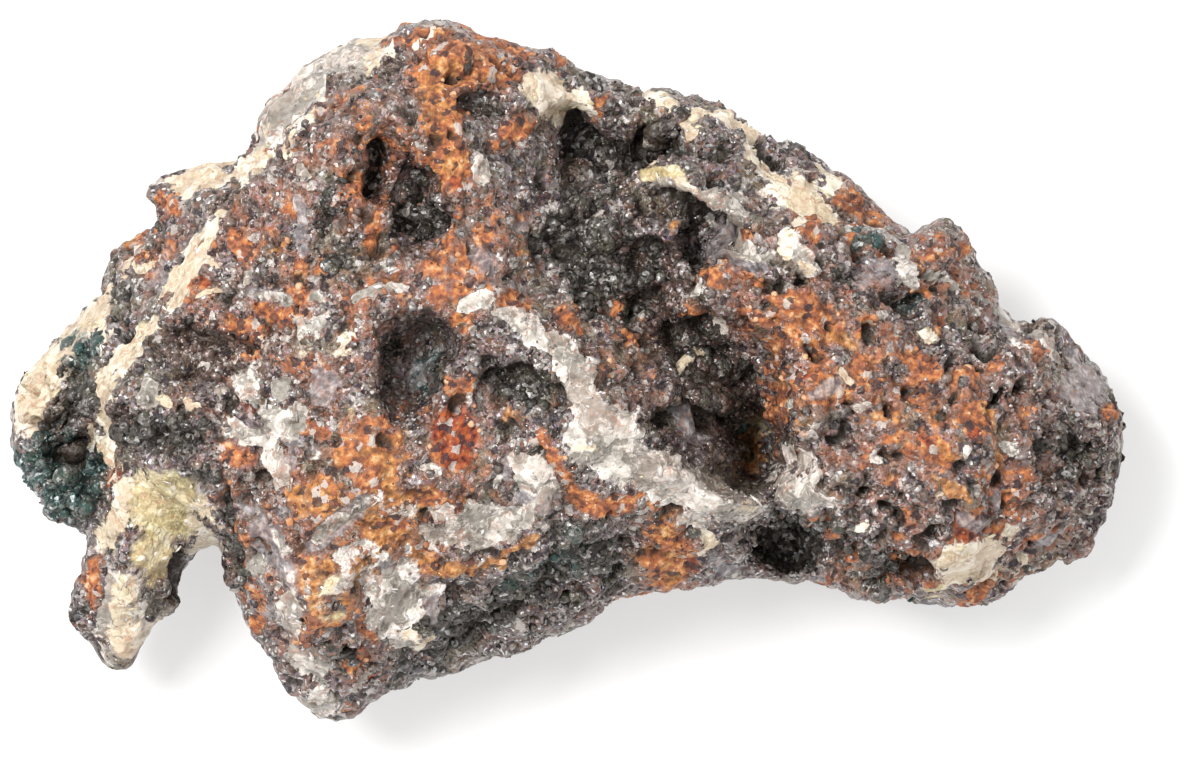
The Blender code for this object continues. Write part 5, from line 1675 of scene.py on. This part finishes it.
@dataclass
class Growths:
    """The crusts of grains that grow on the skin, each on its own minerals."""

    grid: SkinGrid

    def crusts(self) -> list[Crust]:
        """Sizes, numbers and finishes of all the crusts."""
        grid = self.grid
        spar = grid.share_of(*SPARS)
        dark = grid.share_of(Mineral.DARK, Mineral.TEAL) * (1 - spar)
        brown = grid.share_of(Mineral.BROWN) * (1 - spar)
        rust = grid.share_of(*RUSTS) * (1 - spar) * (1 - dark)
        steel = (1 - spar) * (1 - dark) * (1 - 0.85 * rust)
        bare = (1 - spar) * (1 - dark) * (1 - rust) ** 2
        quartz = grid.share_of(Mineral.QUARTZ)
        cream = grid.share_of(Mineral.CREAM, Mineral.HONEY)
        exposed = (1 - 0.85 * grid.crevice) * (1 - 0.9 * grid.holes)
        inside = smooth_step(grid.distance, 0.0, 0.6) * exposed
        within = smooth_step(grid.distance, 0.4, 1.6) * exposed
        teal = grid.share_of(Mineral.TEAL)
        above = grid.share_of(Mineral.DARK) * smooth_step(grid.normals[:, 2], -0.2, 0.3)
        darker = dark + brown
        rusty = 0.7 * grid.share_of(*RUSTS)
        bright = {"sink": 0.5, "tinge": rusty}
        black = {"sink": 0.5, "tinge": teal}
        ball = {"sink": 0.5, "lean": 0.3, "smooth": True, "tinge": teal}
        knob = {"sink": 0.45, "lean": 0.6, "smooth": True, "uneven": 0.22, "tinge": rusty}
        bulb = {**ball, "uneven": 0.14, "stretch": (1.0, 0.9, 0.8), "tinge": 0.7 * teal}
        shard = {"sink": 0.1, "stretch": (1.0, 0.5, 0.16), "lean": 0.3, "uneven": 0.25}
        blade = {"sink": 0.08, "stretch": (1.0, 0.5, 0.12), "lean": 0.16, "uneven": 0.2}
        # name, finish, habit, number, smallest and largest radius, where it grows, seed and manner
        rows = (
            ("steel_druse", STEEL_GRAINS, Habit.OCTAHEDRON, 12000, (0.07, 0.24), steel * inside, 1, bright),
            ("dark_spherules", DARK_SPHERULES, Habit.SPHERULE, 2400, (0.15, 0.6), dark * within, 2, ball),
            ("dark_druse", DARK_GRAINS, Habit.OCTAHEDRON, 6500, (0.07, 0.2), darker * inside, 3, black),
            ("brown_spherules", BROWN_SPHERULES, Habit.SPHERULE, 1300, (0.2, 0.55), brown * within, 4, ball),
            ("rust_crumbs", RUST_GRAINS, Habit.BLOCK, 1700, (0.08, 0.28), rust * inside, 5, {"sink": 0.5}),
            ("quartz_shards", QUARTZ_GRAINS, Habit.SHARD, 1500, (0.15, 0.6), quartz * within, 6, shard),
            ("calcite_blades", CALCITE_BLADES, Habit.SHARD, 420, (0.25, 0.8), cream * within, 7, blade),
            ("dark_nodules", DARK_NODULES, Habit.NODULE, 380, (0.4, 1.05), above * within, 9, bulb),
            ("steel_spherules", STEEL_SPHERULES, Habit.SPHERULE, 2300, (0.14, 0.5), bare * within, 8, knob),
        )
        return [Crust(*row, **manner) for *row, manner in rows]

    def build(self) -> list[bpy.types.Object]:
        """Build every crust in turn and report it."""
        made = []
        for crust in self.crusts():
            made.append(crust.build(self.grid))
            LOG.info("%s: %d grains, %d faces", crust.name, crust.count, len(made[-1].data.polygons))
        return made


# The light top stops of the ore grains' shades are painted glints; the glittering ones also tip their facets
# for real glints.
TEAL_TINGE = (0.032, 0.09, 0.082)
STEEL_GRAINS = GrainFinish(
    "steel_druse",
    (
        (0.0, (0.03, 0.027, 0.027)), (0.35, (0.12, 0.102, 0.094)), (0.7, (0.24, 0.215, 0.2)),
        (0.93, (0.42, 0.395, 0.38)), (1.0, (0.95, 0.95, 0.95)),
    ),
    roughness=0.24, metallic=0.65, veil=(0.26, 0.12, 0.075), veil_share=0.4,
)
STEEL_SPHERULES = GrainFinish(
    "steel_botryoids",
    (
        (0.0, (0.035, 0.03, 0.029)), (0.3, (0.11, 0.094, 0.085)), (0.6, (0.22, 0.196, 0.181)),
        (0.82, (0.36, 0.335, 0.318)), (0.94, (0.85, 0.84, 0.83)),
    ),
    roughness=0.32, metallic=0.42, veil=(0.27, 0.14, 0.09), veil_share=0.45, glitter=0.75,
)
DARK_GRAINS = GrainFinish(
    "dark_druse",
    (
        (0.0, (0.014, 0.011, 0.01)), (0.6, (0.068, 0.058, 0.051)), (0.92, (0.2, 0.185, 0.17)),
        (1.0, (0.65, 0.66, 0.66)),
    ),
    roughness=0.22, metallic=0.6, veil=(0.05, 0.06, 0.04), veil_share=0.5, tinge=TEAL_TINGE,
)
DARK_SPHERULES = GrainFinish(
    "dark_botryoids",
    (
        (0.0, (0.014, 0.011, 0.01)), (0.35, (0.05, 0.042, 0.036)), (0.65, (0.12, 0.105, 0.093)),
        (0.85, (0.25, 0.235, 0.22)), (0.95, (0.6, 0.61, 0.6)),
    ),
    roughness=0.34, metallic=0.45, relief=0.1, veil=(0.055, 0.06, 0.035), veil_share=0.55, glitter=0.8,
    tinge=TEAL_TINGE,
)
DARK_NODULES = GrainFinish(
    "dark_nodules",
    (
        (0.0, (0.014, 0.011, 0.009)), (0.3, (0.05, 0.04, 0.034)), (0.6, (0.13, 0.112, 0.1)),
        (0.82, (0.27, 0.25, 0.235)), (0.95, (0.75, 0.74, 0.72)),
    ),
    roughness=0.3, metallic=0.42, texture=0.5, relief=0.4, veil=(0.06, 0.058, 0.03), veil_share=0.6,
    glitter=0.95, crystals=0.27, tinge=TEAL_TINGE,
)
BROWN_SPHERULES = GrainFinish(
    "brown_botryoids",
    (
        (0.0, (0.03, 0.016, 0.014)), (0.5, (0.1, 0.06, 0.05)), (0.8, (0.2, 0.15, 0.13)),
        (0.95, (0.6, 0.55, 0.52)),
    ),
    roughness=0.26, metallic=0.3, glitter=0.6,
)
RUST_GRAINS = GrainFinish(
    "rust_crumbs",
    (
        (0.0, (0.12, 0.045, 0.03)), (0.5, (0.34, 0.125, 0.06)), (0.85, (0.52, 0.22, 0.09)),
        (1.0, (0.72, 0.46, 0.28)),
    ),
    roughness=0.75, relief=0.12,
)
QUARTZ_GRAINS = GrainFinish(
    "milky_quartz",
    ((0.0, (0.32, 0.29, 0.26)), (0.4, (0.55, 0.5, 0.46)), (1.0, (0.84, 0.79, 0.75))),
    roughness=0.25, transmission=0.2, refraction=1.544,
)
CALCITE_BLADES = GrainFinish(
    "calcite_blades",
    (
        (0.0, (0.45, 0.37, 0.2)), (0.3, (0.66, 0.57, 0.38)), (0.6, (0.78, 0.69, 0.53)),
        (1.0, (0.92, 0.86, 0.78)),
    ),
    roughness=0.35, transmission=0.1, refraction=1.6,
)


@dataclass
class Studio:
    """Pale floor, soft light from the upper left, and a camera that looks straight down."""

    floor_side: float = 8.0
    floor_colour: Colour = (0.58, 0.58, 0.58)
    floor_glow: float = 0.42
    view_middle: tuple[float, float] = (2.43, -1.39)
    # the photograph is 1200 pixels wide, at 14 of them to a millimetre
    view_width: float = 1200 / 14
    view_height: float = 14.0
    camera_distance: float = 2000.0
    key_place: tuple[float, float, float] = (-0.36, 0.24, 1.0)
    key_side: float = 0.36
    key_power: float = 12.0
    sky: float = 0.85
    floor_roughness: float = 0.95
    sensor_width: float = 36.0
    far_clip: float = 10.0

    def floor(self) -> bpy.types.Object:
        """One plain square under the stone."""
        half = self.floor_side / 2
        corners = [(-half, -half, 0), (half, -half, 0), (half, half, 0), (-half, half, 0)]
        mesh = bpy.data.meshes.new("floor")
        mesh.from_pydata(corners, [], [(0, 1, 2, 3)])
        values = {"Base Color": self.floor_colour, "Roughness": self.floor_roughness}
        values |= {"Specular IOR Level": 0.0, "Emission Color": (1.0, 1.0, 1.0)}
        values["Emission Strength"] = self.floor_glow
        mesh.materials.append(Tree("pale_floor").finished(values))
        item = shown("floor", mesh)
        return item

    def lights(self) -> None:
        """A soft square lamp at the upper left and an even pale sky."""
        lamp = bpy.data.lights.new("key", "AREA")
        lamp.size = self.key_side
        lamp.energy = self.key_power
        item = shown("key", lamp)
        item.location = self.key_place
        aim = -np.array(self.key_place)
        item.rotation_euler = (
            math.acos(-aim[2] / np.linalg.norm(aim)),
            0.0,
            math.atan2(aim[1], aim[0]) - math.pi / 2,
        )
        item.visible_camera = False
        world = bpy.data.worlds.new("sky")
        world.use_nodes = True
        sky = world.node_tree.nodes["Background"]
        sky.inputs["Color"].default_value = (1.0, 1.0, 1.0, 1.0)
        sky.inputs["Strength"].default_value = self.sky
        bpy.context.scene.world = world

    def camera(self) -> None:
        """A long lens over the middle of the view, with the photograph's framing."""
        lens = bpy.data.cameras.new("camera")
        lens.sensor_width = self.sensor_width
        lens.lens = lens.sensor_width * self.camera_distance / self.view_width
        lens.clip_end = self.far_clip
        item = shown("camera", lens)
        middle = np.array([*self.view_middle, self.view_height + self.camera_distance])
        item.location = tuple((middle + np.array(SHIFT)) * MM)
        bpy.context.scene.camera = item

    def build(self) -> None:
        """Set up the floor, the lights, the camera and plain colours."""
        self.floor()
        self.lights()
        self.camera()
        bpy.context.scene.view_settings.view_transform = "Standard"
        bpy.context.scene.view_settings.look = "None"


def main() -> None:
    """Build the studio, the skin and its crusts in order."""
    logging.basicConfig(level=logging.INFO, format="%(name)s: %(message)s")
    Studio().build()
    grid = SkinGrid()
    skin = RockSkin(grid).build()
    LOG.info("stone_skin: %d faces", len(skin.data.polygons))
    Growths(grid).build()


if __name__ == "__main__":
    main()
